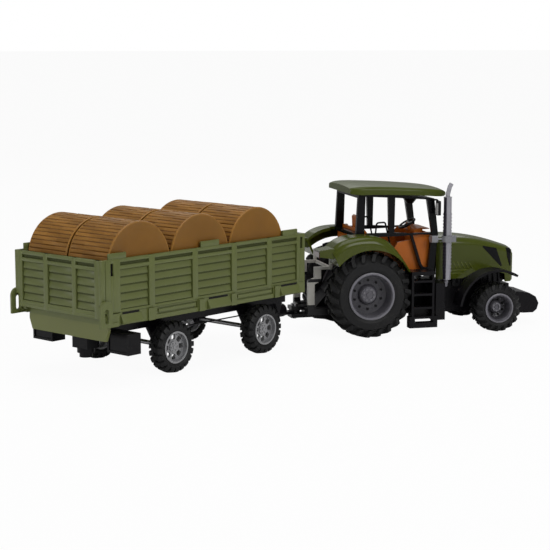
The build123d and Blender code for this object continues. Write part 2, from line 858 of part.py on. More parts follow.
with BuildPart() as steering_wheel:
    with BuildSketch(Plane(origin=wheel_centre, x_dir=column_plane.x_dir, z_dir=column_plane.y_dir)):
        with Locations((steering_ring_r, 0)):
            Circle(0.95)
    revolve(axis=Axis(wheel_centre, column_plane.z_dir))
    with BuildSketch(column_plane.offset(-1.1)):
        Circle(2.4)
        with PolarLocations(0, 3, start_angle=90):
            with Locations((steering_ring_r / 2, 0)):
                Rectangle(steering_ring_r, 1.5)
    extrude(amount=1.6)
    with BuildSketch(column_plane.offset(-3)):
        Circle(0.9 + running_gap)
    extrude(amount=4.4, mode=Mode.SUBTRACT)
save(steering_wheel.part, "steering_wheel")

# ================================================================ rear fenders
fender_inner_r = rear_wheel_r + fender_tyre_gap
fender_tip_angle = 138.0
fender_foot_angle = 28.5
fender_inner_y = tub_half + 0.2
fender_span = wheel_face_y - fender_inner_y
fender_round = 8.0            # how far the crown rolls over towards the outer face
pod_x = -45.0                 # middle of the lamp pod on the fender tail
pod_z = 82.5
pod_half_width = 11.0
pod_y = wheel_face_y - 3.0 - pod_half_width


def fender_sketch(y, inset):
    """Side face of a rear fender: spline crown over a round arch around the tyre."""
    arch_r = fender_inner_r - 2 * inset
    arch = [
        (arch_r * cos(radians(t)), rear_wheel_r + arch_r * sin(radians(t)))
        for t in (fender_foot_angle, 85.0, fender_tip_angle)
    ]
    with BuildSketch(side_plane(y)) as fender_face:
        with BuildLine():
            arc = ThreePointArc(*arch)
            crown = Spline(
                (-39.5 + inset, 85.0),
                (-30.0 + inset * 0.6, 93.0 - inset),
                (-8.0, 97.8 - inset),
                (13.5 - inset * 0.3, 94.4 - inset),
                (27.0 - inset, 82.6 - inset * 0.5),
                (40.8 - inset, 62.3),
            )
            Line(arc @ 1, crown @ 0)
            Line(crown @ 1, arc @ 0)
        make_face()
    return fender_face.sketch


def fender_block(side, outer_y, inner_y, inset):
    """One fender side face drawn inwards, its crown rolled over towards the outer face."""
    with BuildPart() as block:
        extrude(fender_sketch(side * outer_y, inset), amount=side * (outer_y - inner_y))
        outer_edges = block.edges().filter_by(lambda e: abs(e.center().Y - side * outer_y) < 0.2)
        fillet(outer_edges.sort_by(Axis.Z)[-1], fender_round - inset)
    return block.part


fenders = []
for side in (1, -1):
    with BuildPart() as fender:
        add(fender_block(side, wheel_face_y, fender_inner_y, 0))
        # lamp pod swelling out of the tail
        with BuildSketch(Plane.YZ.offset(pod_x + 8.5)):
            with Locations((side * pod_y, pod_z)):
                Rectangle(2 * pod_half_width, 10.0)
        extrude(amount=-14.0, taper=8)
        add(
            fender_block(side, wheel_face_y - fender_wall, fender_inner_y, fender_wall + 0.6),
            mode=Mode.SUBTRACT,
        )
        # seat for the cab frame
        with Locations((18, side * (cab_half - 4.4), belt_z + 6.3)):
            Box(66, 9, 20, mode=Mode.SUBTRACT)
        # flat pocket that takes the lamp
        with Locations((pod_x - 5.5, side * pod_y, pod_z - 1.0)):
            Box(2.0, 16.0, 5.4, mode=Mode.SUBTRACT)
    fenders.append(fender.part)
save(Compound(children=fenders), "rear_fenders")

# ---------------------------------------------------------------- rear lamps in the fender pods
tail_lamps = []
for side in (1, -1):
    with BuildPart() as tail_lamp:
        with BuildSketch(Plane.YZ.offset(pod_x - 4.6)):
            with Locations((side * pod_y, pod_z - 1.0)):
                RectangleRounded(15.6, 5.0, 1.2)
        extrude(amount=-1.2)
    tail_lamps.append(tail_lamp.part)
save(Compound(children=tail_lamps), "tail_lamps")

# ---------------------------------------------------------------- rear lift frame
link_y = 24.0
hoop_x = -31.5
hoop_y = 26.0
hoop_z = 65.2
with BuildPart() as lift_frame:
    for side in (-1, 1):
        # flat link plates stepping down and back
        with BuildSketch(side_plane(side * (link_y + 2))):
            Polygon(
                (-54, 20),
                (-54, 54),
                (-47.4, 56),
                (-47.4, hoop_z + 1.3),
                (hoop_x, hoop_z + 1.3),
                (hoop_x, hoop_z - 1.3),
                (-41, hoop_z - 1.3),
                (-41, 53),
                (-47.4, 50),
                (-47.4, 20),
                align=None,
            )
        extrude(amount=side * 4)
        # upright of the hoop
        with BuildSketch(Plane.XY.offset(hoop_z - 1.3)):
            with Locations((hoop_x, side * hoop_y)):
                RectangleRounded(3.0, 3.6, 0.8)
        extrude(amount=13.5)
        # arm to the chassis
        arm_length = link_y + 2 - chassis_half - 0.1
        with Locations((-40.5, side * (chassis_half + 0.1 + arm_length / 2), 23.2)):
            Box(27, arm_length, 6.4)
    with BuildSketch(side_plane(-hoop_y)):
        with Locations((hoop_x, hoop_z)):
            Rectangle(2.6, 2.6)
    extrude(amount=-2 * hoop_y)
    add(chassis.part, mode=Mode.SUBTRACT)
save(lift_frame.part, "lift_frame")

# ================================================================ exhaust
shield_low_z = 52.0
shield_high_z = 132.0
with BuildPart() as exhaust_pipe:
    with BuildLine() as pipe_path:
        FilletPolyline(
            (exhaust_x + 0.2, exhaust_y + 4.0, shield_low_z - 6.6),
            (exhaust_x, exhaust_y, shield_low_z + 1.5),
            (exhaust_x, exhaust_y, shield_high_z + 2.5),
            (exhaust_x + 1.8, exhaust_y, shield_high_z + 9.5),
            (exhaust_x + 3.6, exhaust_y, shield_high_z + 12.6),
            radius=3.5,
        )
    with BuildSketch(Plane(origin=pipe_path.line @ 0, z_dir=pipe_path.line % 0)):
        Circle(2.1)
    sweep(path=pipe_path.line)
    # open mouth
    with BuildSketch(Plane(origin=pipe_path.line @ 1, z_dir=-(pipe_path.line % 1))):
        Circle(1.5)
    extrude(amount=3.0, mode=Mode.SUBTRACT)
with BuildPart() as exhaust_stack:
    with BuildSketch(Plane.XY.offset(shield_low_z)):
        with Locations((exhaust_x, exhaust_y)):
            Circle(shield_r - 0.3)
    extrude(amount=shield_high_z - shield_low_z)
    for step in range(18):
        with BuildSketch(Plane.XY.offset(shield_low_z + 8 + 3.2 * step)):
            with Locations((exhaust_x, exhaust_y)):
                Circle(shield_r + 0.15)
        extrude(amount=1.7)
    with BuildSketch(Plane.XY.offset(shield_high_z - 0.6)):
        with Locations((exhaust_x, exhaust_y)):
            Circle(shield_r)
    extrude(amount=0.6)
    add(exhaust_pipe.part)
save(exhaust_stack.part, "exhaust_stack")

clamp_z = 91.5
with BuildPart() as exhaust_clamp:
    with BuildSketch(Plane.XY.offset(clamp_z - 3)):
        with Locations((exhaust_x, exhaust_y)):
            Circle(shield_r + 1.3)
            with Locations((shield_r + 2.2, 0)):
                RectangleRounded(5.0, 3.4, 0.6)
            Circle(shield_r + 0.2, mode=Mode.SUBTRACT)
    extrude(amount=6)
    with BuildSketch(Plane.YZ.offset(exhaust_x - shield_r - 1.0)):
        with Locations((exhaust_y, clamp_z)):
            Circle(0.9)
    extrude(amount=-5.2)
    with BuildSketch(Plane.YZ.offset(exhaust_x - shield_r - 5.8)):
        with Locations((exhaust_y + 2.3, clamp_z)):
            RectangleRounded(7.6, 6.5, 1.0)
    extrude(amount=-6.0)
    with BuildSketch(Plane.XZ.offset(-exhaust_y - 5.7)):
        with Locations((exhaust_x - shield_r - 8.8, clamp_z)):
            Rectangle(6.0, 3.0)
    extrude(amount=-2.15)
save(exhaust_clamp.part, "exhaust_clamp")

# ================================================================ mirrors
mirror_arms = []
mirror_plates = []
for side in (1, -1):
    mirror_y = side * 42.5
    with BuildPart() as mirror_arm:
        with BuildLine() as arm_path:
            FilletPolyline(
                (67.5, side * (cab_half + 0.45), 128.4),
                (69.5, side * 38.5, 129.2),
                (70.2, mirror_y, 129.0),
                (70.6, mirror_y, 124.0), radius=1.2,
            )
        with BuildSketch(Plane(origin=arm_path.line @ 0, z_dir=arm_path.line % 0)):
            Circle(0.9)
        sweep(path=arm_path.line)
        with BuildSketch(Plane.YZ.offset(69.6)):
            with Locations((mirror_y, 121.5)):
                RectangleRounded(7.4, 14.0, 1.6)
        extrude(amount=2.6)
    mirror_arms.append(mirror_arm.part)
    with BuildPart() as mirror_glass:
        with BuildSketch(Plane.YZ.offset(69.6 - 0.55)):
            with Locations((mirror_y, 120.8)):
                RectangleRounded(6.0, 11.0, 1.0)
        extrude(amount=0.5)
    mirror_plates.append(mirror_glass.part)
save(Compound(children=mirror_arms), "mirror_arms")
save(Compound(children=mirror_plates), "mirror_plates")

# ================================================================ front mudguards
guards = []
stay_outer_y = front_tyre_inner_y - 2
guard_r = front_wheel_r + 15.4
guard_half_angle_rear = 172.0
guard_half_angle_front = 58.0
guard_centre = (wheelbase - 1.5, front_wheel_r - 2.0)
for side in (1, -1):
    with BuildPart() as mudguard:
        with BuildSketch(side_plane(side * (wheel_face_y - 0.5))):
            with BuildLine():
                outer = CenterArc(
                    guard_centre,
                    guard_r,
                    guard_half_angle_front,
                    guard_half_angle_rear - guard_half_angle_front,
                )
                inner = CenterArc(
                    guard_centre,
                    guard_r - 2.2,
                    guard_half_angle_front,
                    guard_half_angle_rear - guard_half_angle_front,
                )
                Line(outer @ 0, inner @ 0)
                Line(outer @ 1, inner @ 1)
            make_face()
        extrude(amount=side * 20)
        # stay that carries the guard from the chassis
        with BuildSketch(side_plane(side * (wheel_face_y - 20))):
            Polygon(
                (wheelbase - 9, 58.2),
                (wheelbase + 1, 59.6),
                (wheelbase + 1, 57.2),
                (wheelbase - 9, 56.2),
                align=None,
            )
        extrude(amount=side * 10)
        with BuildSketch(side_plane(side * stay_outer_y)):
            Polygon(
                (wheelbase - 9, 58.2),
                (wheelbase - 3, 58.2),
                (wheelbase - 3, 42.5),
                (wheelbase - 9, 42.5),
                align=None,
            )
        extrude(amount=side * 4)
        with BuildSketch(side_plane(side * stay_outer_y)):
            Polygon(
                (wheelbase - 9, 45.5),
                (wheelbase - 3, 45.5),
                (wheelbase - 3, 42.5),
                (wheelbase - 9, 42.5),
                align=None,
            )
        extrude(amount=side * (stay_outer_y - chassis_half - 0.1))
        add(hood.part, mode=Mode.SUBTRACT)
    guards.append(mudguard.part)
save(Compound(children=guards), "front_mudguards")

# ================================================================ steps and side tanks
step_front_x = 64.5
step_rear_x = 41.5
step_outer_y = 52.0
step_inner_y = 43.5
tread_heights = [52.4, 39.7, 26.8]
step_ladders = []
side_tanks = []
for side in (1, -1):
    outer_y = side * step_outer_y
    depth = side * (step_outer_y - step_inner_y)
    with BuildPart() as steps:
        for x in (step_rear_x, step_front_x - 2.2):
            with BuildSketch(side_plane(outer_y)):
                Polygon((x, 15), (x + 2.2, 15), (x + 2.2, 58.5), (x, 58.5), align=None)
            extrude(amount=depth)
        for z in tread_heights:
            with BuildSketch(side_plane(outer_y)):
                Polygon(
                    (step_rear_x, z - 1.0),
                    (step_front_x, z - 1.0),
                    (step_front_x, z + 1.0),
                    (step_rear_x, z + 1.0),
                    align=None,
                )
            extrude(amount=depth)
            with BuildSketch(Plane.XY.offset(z + 0.4)):
                with Locations(
                    *[
                        (step_rear_x + 5 + 3.3 * i, side * (step_outer_y + step_inner_y) / 2)
                        for i in range(5)
                    ]
                ):
                    Rectangle(1.4, 6.0)
            extrude(amount=0.8, mode=Mode.SUBTRACT)
        with BuildSketch(side_plane(outer_y)):
            Polygon(
                (step_rear_x, 58.4), (step_front_x, 58.4), (step_front_x, 62.0), (step_rear_x, 62.0),
                align=None,
            )
        extrude(amount=side * (step_outer_y - cab_half - 0.1))
        # bottom loop
        with BuildSketch(side_plane(outer_y)):
            Polygon(
                (step_rear_x - 1.6, 7.6),
                (step_front_x + 3.4, 7.6),
                (step_front_x + 3.4, 18.5),
                (step_rear_x - 1.6, 18.5),
                align=None,
            )
            Polygon(
                (step_rear_x + 3.6, 12.6),
                (step_front_x - 0.6, 12.6),
                (step_front_x - 0.6, 16.4),
                (step_rear_x + 3.6, 16.4),
                align=None,
                mode=Mode.SUBTRACT,
            )
        extrude(amount=depth)
        # arm back to the chassis
        with BuildSketch(Plane.XY.offset(20)):
            with Locations(
                ((step_rear_x + step_front_x) / 2, side * (step_inner_y + chassis_half + 0.1) / 2)
            ):
                Rectangle(9, step_inner_y - chassis_half - 0.1)
        extrude(amount=4.2)
        with BuildSketch(side_plane(side * (step_inner_y + 0.6))):
            Polygon(
                (step_rear_x, 18.4),
                (step_front_x, 18.4),
                (step_front_x, 27.0),
                (step_rear_x, 27.0),
                align=None,
            )
        extrude(amount=side * 2.0)
        add(fenders[(1 - side) // 2], mode=Mode.SUBTRACT)
    step_ladders.append(steps.part)
    with BuildPart() as side_tank:
        with BuildSketch(Plane.XY.offset(14.0)):
            with Locations((71.9, side * 33.0)):
                RectangleRounded(10.4, 32.0, 1.2)
        extrude(amount=35.6)
        with BuildSketch(side_plane(side * 49.0)):
            Polygon((64, 10), (69, 10), (69, 18.5), (64, 18.5), align=None)
        extrude(amount=side * 6.5, mode=Mode.SUBTRACT)
        with BuildSketch(Plane.XY.offset(30)):
            with Locations((71.9, side * (17 + chassis_half + 0.1) / 2)):
                Rectangle(8, 17 - chassis_half - 0.1)
        extrude(amount=6)
    side_tanks.append(side_tank.part)
save(Compound(children=step_ladders), "steps")
save(Compound(children=side_tanks), "side_tanks")

# ================================================================ trailer
def slab(back, across, up, mode=Mode.ADD):
    """A rectangular bar given by how far it reaches back, to the right and up."""
    centre = (-(back[0] + back[1]) / 2, -(across[0] + across[1]) / 2, (up[0] + up[1]) / 2)
    with Locations(centre):
        Box(back[1] - back[0], across[1] - across[0], up[1] - up[0], mode=mode)


def reach(sign, inner, outer):
    """How far a bar reaches to the right, measured on the left (-1) or the right (1)."""
    return sorted((sign * inner, sign * outer))


# ---------------------------------------------------------------- bed
bed_end_b = gate_inner_b - 5.6
lip_end_b = gate_inner_b - body_gap
wall_inner = body_half - wall_thick
arm_half = 50.5               # outer face of the gate arms
arm_thick = 3.5
gate_pin_r = 1.6
notch_half = arm_half - arm_thick - body_gap - 0.1
ear_b = 295.2
ear_r = 6.6
ear_top_z = 72.6
ear_foot_z = 54.0
ear_outer = body_half + 2.8
with BuildPart() as trailer_bed:
    slab((body_front_b, bed_end_b), (-body_half, body_half), (bed_bottom_z, bed_rim_z))
    slab((body_front_b, bed_end_b), (-wall_inner + 0.1, wall_inner - 0.1), (bed_rim_z, bed_floor_z))
    slab((bed_end_b, lip_end_b), (-notch_half, notch_half), (gate_axis_z + 1, bed_floor_z))
    slab((body_front_b + 3, bed_end_b - 3), (-body_half + 3, body_half - 3), (bed_bottom_z, bed_rim_z - 1.5),
         mode=Mode.SUBTRACT)
    for sign in (-1, 1):
        # notch for the gate arm, then the ear that holds its pin
        low, high = sorted((sign * notch_half, sign * (wall_inner + 0.01)))
        slab(
            (gate_axis_b - 4.2, bed_end_b + 0.1),
            (low, high),
            (bed_bottom_z - 1, bed_floor_z + 1),
            mode=Mode.SUBTRACT,
        )
        low, high = sorted((sign * wall_inner, sign * body_half))
        slab((bed_end_b - 1, gate_axis_b), (low, high), (gate_axis_z - 4, gate_axis_z + 4))
        with BuildSketch(side_plane(-sign * wall_inner)):
            with Locations((-gate_axis_b, gate_axis_z)):
                Circle(4.0)
        extrude(amount=sign * wall_thick)
        with BuildSketch(side_plane(-sign * (wall_inner - 1))):
            with Locations((-gate_axis_b, gate_axis_z)):
                Circle(gate_pin_r + running_gap)
        extrude(amount=sign * (wall_thick + 2), mode=Mode.SUBTRACT)
        # pressed frames in the sill, with an upright rib beside each
        for frame_b in (115.5, 212.5):
            low, high = sorted((sign * (body_half - 1.6), sign * (body_half + 1)))
            slab(
                (frame_b - 24, frame_b + 24),
                (low, high),
                (bed_bottom_z + 3.6, bed_rim_z - 0.8),
                mode=Mode.SUBTRACT,
            )
            low, high = sorted((sign * (body_half - 1.7), sign * (body_half - 0.2)))
            slab((frame_b - 22, frame_b + 22), (low, high), (bed_bottom_z + 5.2, bed_rim_z - 2.4))
        for rib_b in (87, 144, 184, 244, 284):
            low, high = sorted((sign * (body_half - 1), sign * (body_half + 1.5)))
            slab((rib_b - 3.4, rib_b + 3.4), (low, high), (bed_bottom_z, bed_rim_z))
        # slotted ear standing outside the tailgate's corner, on a foot from the sill
        ear_inner = body_half + body_gap + 0.1
        slab((282.5, bed_end_b + 0.6), reach(sign, body_half - 0.1, ear_outer), (bed_bottom_z, ear_foot_z))
        slab((282.5, ear_b + ear_r), reach(sign, ear_inner, ear_outer), (bed_bottom_z, ear_foot_z))
        with BuildSketch(side_plane(-sign * ear_inner)):
            with Locations((-ear_b, ear_top_z - ear_r)):
                Circle(ear_r)
            with Locations((-ear_b, (bed_bottom_z + ear_top_z - ear_r) / 2)):
                Rectangle(2 * ear_r, ear_top_z - ear_r - bed_bottom_z)
            with Locations((-ear_b, (ear_foot_z + ear_top_z - ear_r) / 2)):
                SlotCenterToCenter(8.0, 4.6, rotation=90, mode=Mode.SUBTRACT)
        extrude(amount=sign * (ear_outer - ear_inner))
save_trailer(trailer_bed.part, "trailer_bed")

# ---------------------------------------------------------------- side walls
wall_bottom_z = bed_rim_z + seat_gap
rail_top = (102.5, wall_top_z)
rail_second = (96.7, 99.7)
slat_count = 5
slat_low_z = 63.0
slat_pitch = (rail_second[0] - slat_low_z) / slat_count
slat_groove = 0.9
wall_posts = [
    (body_front_b, 59.0),
    (92.9, 99.4),
    (138.9, 145.4),
    (187.4, 193.9),
    (238.6, 245.1),
    (277.5, lip_end_b),
]
wall_stakes = [(57.6, 77.4), (160.5, 183.2), (270.0, 289.5)]
stake_top_z = 110.5
for sign, name in ((-1, "left"), (1, "right")):
    with BuildPart() as side_wall:
        slab(
            (body_front_b, lip_end_b),
            reach(sign, wall_inner, body_half - wall_recess),
            (wall_bottom_z, wall_top_z),
        )
        for low_z, high_z in (rail_top, rail_second):
            slab((body_front_b, lip_end_b), reach(sign, wall_inner, body_half - 0.2), (low_z, high_z))
        slab(
            (body_front_b, lip_end_b),
            reach(sign, wall_inner, body_half - 0.2),
            (wall_bottom_z, slat_low_z),
        )
        for index in range(slat_count):
            low_z = slat_low_z + index * slat_pitch
            slab(
                (body_front_b, lip_end_b),
                reach(sign, wall_inner, body_half - 1.2),
                (low_z + slat_groove, low_z + slat_pitch),
            )
        for post in wall_posts:
            slab(post, reach(sign, wall_inner, body_half), (wall_bottom_z, wall_top_z))
        for stake in wall_stakes:
            slab(stake, reach(sign, wall_inner + 0.6, body_half - 0.6), (wall_top_z - 1, stake_top_z))
        for slot_b in (52.6, 286.5):
            slab(
                (slot_b - 1.5, slot_b + 1.5),
                reach(sign, body_half - 2.4, body_half + 1),
                (92.0, 102.3),
                mode=Mode.SUBTRACT,
            )
        # cut clear of the bed's ear
        slab(
            (gate_axis_b - 4.5, lip_end_b + 1),
            reach(sign, wall_inner - 1, body_half + 1),
            (wall_bottom_z - 1, gate_axis_z + 4.4),
            mode=Mode.SUBTRACT,
        )
    save_trailer(side_wall.part, f"side_wall_{name}")

# ---------------------------------------------------------------- front wall
front_wall_half = wall_inner - seat_gap
with BuildPart() as front_wall:
    floor_z = bed_floor_z + seat_gap
    slab(
        (body_front_b + wall_recess, body_front_b + wall_thick),
        (-front_wall_half, front_wall_half),
        (floor_z, wall_top_z),
    )
    for low_z, high_z in (rail_top, rail_second, (floor_z, slat_low_z + 2)):
        slab(
            (body_front_b + 0.3, body_front_b + wall_thick),
            (-front_wall_half, front_wall_half),
            (low_z, high_z),
        )
    for index in range(1, slat_count):
        low_z = slat_low_z + index * slat_pitch
        slab((body_front_b + 0.7, body_front_b + wall_thick), (-front_wall_half, front_wall_half),
             (low_z + slat_groove, low_z + slat_pitch))
    for middle_s in (-47.9, -17.0, 17.0, 47.9):
        slab(
            (body_front_b, body_front_b + wall_thick),
            (middle_s - 3.2, middle_s + 3.2),
            (floor_z, wall_top_z),
        )
save_trailer(front_wall.part, "front_wall")

# ---------------------------------------------------------------- tailgate
gate_low_z = gate_axis_z + 0.6
gate_step_z = 68.5
gate_low_half = wall_inner - 0.6
gate_skin_b = body_rear_b - 2.4
with BuildPart() as tailgate:
    slab((gate_inner_b, gate_skin_b), (-body_half, body_half), (gate_step_z, wall_top_z))
    slab((gate_inner_b, gate_skin_b), (-gate_low_half, gate_low_half), (gate_low_z, gate_step_z))
    for low_z, high_z in (rail_top, rail_second):
        slab((gate_inner_b, body_rear_b - 0.5), (-body_half, body_half), (low_z, high_z))
    slab((gate_inner_b, body_rear_b - 0.5), (-gate_low_half, gate_low_half), (gate_low_z, slat_low_z))
    for index in range(slat_count):
        low_z = slat_low_z + index * slat_pitch
        half = gate_low_half if low_z < gate_step_z else body_half
        slab((gate_inner_b, body_rear_b - 1.5), (-half, half), (low_z + slat_groove, low_z + slat_pitch))
    for low_s, high_s in ((-50.8, -45.4), (-17.9, -12.5), (17.9, 22.7), (45.4, 50.8)):
        slab((gate_inner_b, body_rear_b), (low_s, high_s), (gate_low_z, wall_top_z))
    for sign in (-1, 1):
        low, high = sorted((sign * 45.4, sign * body_half))
        slab((gate_inner_b, body_rear_b), (low, high), (gate_step_z, wall_top_z))
    with BuildSketch(Plane(origin=(0, -gate_low_half, 0), x_dir=(1, 0, 0), z_dir=(0, 1, 0))):
        with Locations((-(body_rear_b - 1.3), -60.2)):
            Circle(1.3)
    extrude(amount=2 * gate_low_half)
    for sign in (-1, 1):
        # arm to the pin, with a round end about the pin
        low, high = sorted((sign * (arm_half - arm_thick), sign * arm_half))
        slab((gate_axis_b, gate_inner_b + 1), (low, high), (gate_axis_z + 0.6, gate_axis_z + 3.0))
        with BuildSketch(side_plane(-sign * (arm_half - arm_thick))):
            with Locations((-gate_axis_b, gate_axis_z)):
                Circle(3.0)
        extrude(amount=sign * arm_thick)
        with BuildSketch(side_plane(-sign * (arm_half - arm_thick))):
            with Locations((-gate_axis_b, gate_axis_z)):
                Circle(gate_pin_r)
        extrude(amount=sign * (body_half - arm_half + arm_thick))
save_trailer(tailgate.part, "tailgate")

# ---------------------------------------------------------------- rear apron and lamp boxes
apron_b = (284.6, 287.4)
apron_z = (37.0, bed_bottom_z - seat_gap)
with BuildPart() as rear_apron:
    with BuildSketch(Plane.YZ.offset(-apron_b[0])):
        Polygon(
            (-49.6, apron_z[1]),
            (49.6, apron_z[1]),
            (49.6, 46.0),
            (46.0, apron_z[0]),
            (-46.0, apron_z[0]),
            (-49.6, 46.0),
            align=None,
        )
    extrude(amount=-(apron_b[1] - apron_b[0]))
save_trailer(rear_apron.part, "rear_apron")

beam_outer = 34.0
beam_inner = 30.0
box_rear_b = 275.3
box_depth = 14.4
box_outer = 60.0
box_inner = 34.7
box_z = (25.3, 42.8)
boxes = []
for sign in (-1, 1):
    with BuildPart() as lamp_box:
        low, high = sorted((sign * box_inner, sign * box_outer))
        slab((box_rear_b - box_depth, box_rear_b), (low, high), box_z)
        slab(
            (box_rear_b - box_depth - 1, box_rear_b - 1.6),
            (low + 1.5, high - 1.5),
            (box_z[0] + 1.5, box_z[1] - 1.5),
            mode=Mode.SUBTRACT,
        )
        middle = sign * (box_inner + box_outer) / 2
        slab((box_rear_b - 0.8, box_rear_b + 1), (middle - 10.6, middle + 10.6), (box_z[0] + 2, box_z[1] - 2),
             mode=Mode.SUBTRACT)
        low, high = sorted((sign * (beam_outer + seat_gap), sign * (box_inner + 1)))
        slab((box_rear_b - box_depth, box_rear_b - 2), (low, high), (box_z[1] - 2.6, box_z[1]))
    boxes.append(TRAILER_PLACE * lamp_box.part)
save(Compound(children=boxes), "rear_lamp_boxes")

# ---------------------------------------------------------------- trailer chassis
beam_z = (40.0, bed_bottom_z - seat_gap)
hanger_thick = 3.4
rod_z = 34.5
with BuildPart() as trailer_chassis:
    for sign in (-1, 1):
        low, high = sorted((sign * beam_inner, sign * beam_outer))
        slab((52, 284.4), (low, high), beam_z)
        for axle_b in (trailer_front_axle_b, trailer_rear_axle_b):
            with BuildSketch(side_plane(-sign * beam_outer)):
                Polygon(
                    (-axle_b - 16, 41), (-axle_b + 16, 41), (-axle_b + 4, trailer_wheel_r - 3.6),
                    (-axle_b - 4, trailer_wheel_r - 3.6), align=None,
                )
                with Locations((-axle_b, trailer_wheel_r)):
                    Circle(trailer_axle_r + running_gap, mode=Mode.SUBTRACT)
                    with Locations((0, 12)):
                        RectangleRounded(8, 9, 1.5, mode=Mode.SUBTRACT)
            extrude(amount=-sign * hanger_thick)
        with BuildSketch(Plane.YZ.offset(-(trailer_rear_axle_b - 6))):
            with Locations((-sign * (beam_outer - 1.7), rod_z)):
                Circle(0.6)
        extrude(amount=trailer_rear_axle_b - trailer_front_axle_b - 12)
        # parking spike near the front
        with BuildSketch(side_plane(-sign * beam_outer)):
            Polygon((-66, 41), (-56, 41), (-60, 29.5), (-61.4, 29.5), align=None)
        extrude(amount=-sign * 3)
    for back in ((52, 60), (108, 114), (196, 202), (258, 280)):
        slab(back, (-beam_inner - 1, beam_inner + 1), (beam_z[0] + 1, beam_z[1]))
save_trailer(trailer_chassis.part, "trailer_chassis")

tow_b = 268.0
with BuildPart() as tow_hitch:
    slab((tow_b - 7, tow_b + 7), (-9.3, 9.3), (24.0, beam_z[0] + 1 - seat_gap))
    with BuildSketch(Plane.XY.offset(24.5)):
        with Locations((-tow_b, 0)):
            Circle(7.5)
    extrude(amount=-4.5)
    with BuildSketch(Plane.XY.offset(20.5)):
        with Locations((-tow_b, 0)):
            Circle(5.6)
    extrude(amount=-4.5)
save_trailer(tow_hitch.part, "tow_hitch")

# ---------------------------------------------------------------- drawbar
eye_thick = 3.0
drum_r = 6.3
drum_z = 24.0
with BuildPart() as drawbar:
    with BuildSketch(Plane.XY.offset(hitch_z - eye_thick / 2)):
        Circle(5.4)
        with Locations((-10, 0)):
            Rectangle(20, 7)
        Circle(hitch_pin_r - 0.05 + running_gap, mode=Mode.SUBTRACT)
    extrude(amount=eye_thick)
    with BuildSketch(Plane.YZ.offset(-18)):
        with Locations((0, drum_z)):
            Circle(drum_r)
    extrude(amount=-16)
    with BuildSketch(side_plane(7)):
        Polygon(
            (-30, 20),
            (-30, 28.5),
            (-46, 38),
            (-54, 48),
            (-61, 48),
            (-61, 40.6),
            (-54, 36),
            (-46, 26),
            (-38, 20),
            align=None,
        )
    extrude(amount=14)
    add(trailer_chassis.part, mode=Mode.SUBTRACT)
save_trailer(drawbar.part, "drawbar")

# ---------------------------------------------------------------- trailer wheels
rim_opening_count = 8
for axle_b, end_name in ((trailer_front_axle_b, "front"), (trailer_rear_axle_b, "rear")):
    tyres = []
    rims = []
    for side in (1, -1):
        tyre = make_tyre(
            -axle_b,
            trailer_wheel_r,
            trailer_rim_r,
            trailer_face_s - trailer_tyre_width,
            trailer_tyre_width,
            side,
            20, 1.8, 4.2, 12
        )
        tyres.append(TRAILER_PLACE * tyre)
        inner_y = trailer_face_s - trailer_tyre_width + 1
        with BuildPart() as rim:
            with BuildSketch(axle_plane(-axle_b, side * inner_y, trailer_wheel_r)):
                Circle(trailer_rim_r - seat_gap)
                Circle(trailer_rim_r - 1.5, mode=Mode.SUBTRACT)
            extrude(amount=side * (trailer_tyre_width - 1.6))
            with BuildSketch(axle_plane(-axle_b, side * (inner_y + 6), trailer_wheel_r)):
                Circle(trailer_rim_r - 1)
                with PolarLocations(8.7, rim_opening_count):
                    RectangleRounded(4.8, 4.4, 1.3, mode=Mode.SUBTRACT)
            extrude(amount=side * 2.4)
            with BuildSketch(axle_plane(-axle_b, side * (inner_y + 3), trailer_wheel_r)):
                Circle(5.0)
            extrude(amount=side * 6.6)
            with BuildSketch(axle_plane(-axle_b, side * (inner_y + 9.5), trailer_wheel_r)):
                with PolarLocations(3.4, 6):
                    RegularPolygon(0.7, 6)
                Circle(1.6)
            extrude(amount=side * 0.8)
            with BuildSketch(axle_plane(-axle_b, side * (inner_y + 2), trailer_wheel_r)):
                Circle(trailer_axle_r + seat_gap)
            extrude(amount=side * 6.0, mode=Mode.SUBTRACT)
        rims.append(TRAILER_PLACE * rim.part)
    save(Compound(children=tyres), f"trailer_{end_name}_tyres")
    save(Compound(children=rims), f"trailer_{end_name}_rims")
    axle_half = trailer_face_s - trailer_tyre_width + 1 + 8 - seat_gap
    with BuildPart() as trailer_axle:
        with BuildSketch(axle_plane(-axle_b, -axle_half, trailer_wheel_r)):
            Circle(trailer_axle_r)
        extrude(amount=2 * axle_half)
    save_trailer(trailer_axle.part, f"trailer_{end_name}_axle")

# ================================================================ bales
bale_slats = 38
slat_depth = 0.8
bale_edge = 2.2
bale_z = bed_floor_z + body_gap + bale_r


def make_bale(centre_b, inner_s, sign):
    """A round bale lying across the bed: plain ends and slatted wrapping round the drum."""
    middle_y = -sign * (inner_s + bale_length / 2)
    with BuildPart() as bale:
        with BuildSketch(axle_plane(-centre_b, middle_y, bale_z)):
            Circle(bale_r - slat_depth)
        extrude(amount=bale_length / 2 - bale_edge, both=True)
        with BuildSketch(axle_plane(-centre_b, middle_y, bale_z)):
            Circle(bale_r)
            with PolarLocations(bale_r, bale_slats, start_angle=180 / bale_slats):
                Rectangle(2.0 * slat_depth, 1.5, mode=Mode.SUBTRACT)
            Circle(bale_r - 5, mode=Mode.SUBTRACT)
        extrude(amount=bale_length / 2 - bale_edge, both=True)
        for end in (-1, 1):
            with BuildSketch(axle_plane(-centre_b, middle_y + end * (bale_length / 2 - bale_edge), bale_z)):
                Circle(bale_r)
            extrude(amount=end * bale_edge)
        rim_edges = bale.edges().filter_by(GeomType.CIRCLE).filter_by(
            lambda e: abs(abs(e.center().Y - middle_y) - bale_length / 2) < 0.05
        )
        fillet(rim_edges, 1.2)
    return bale.part


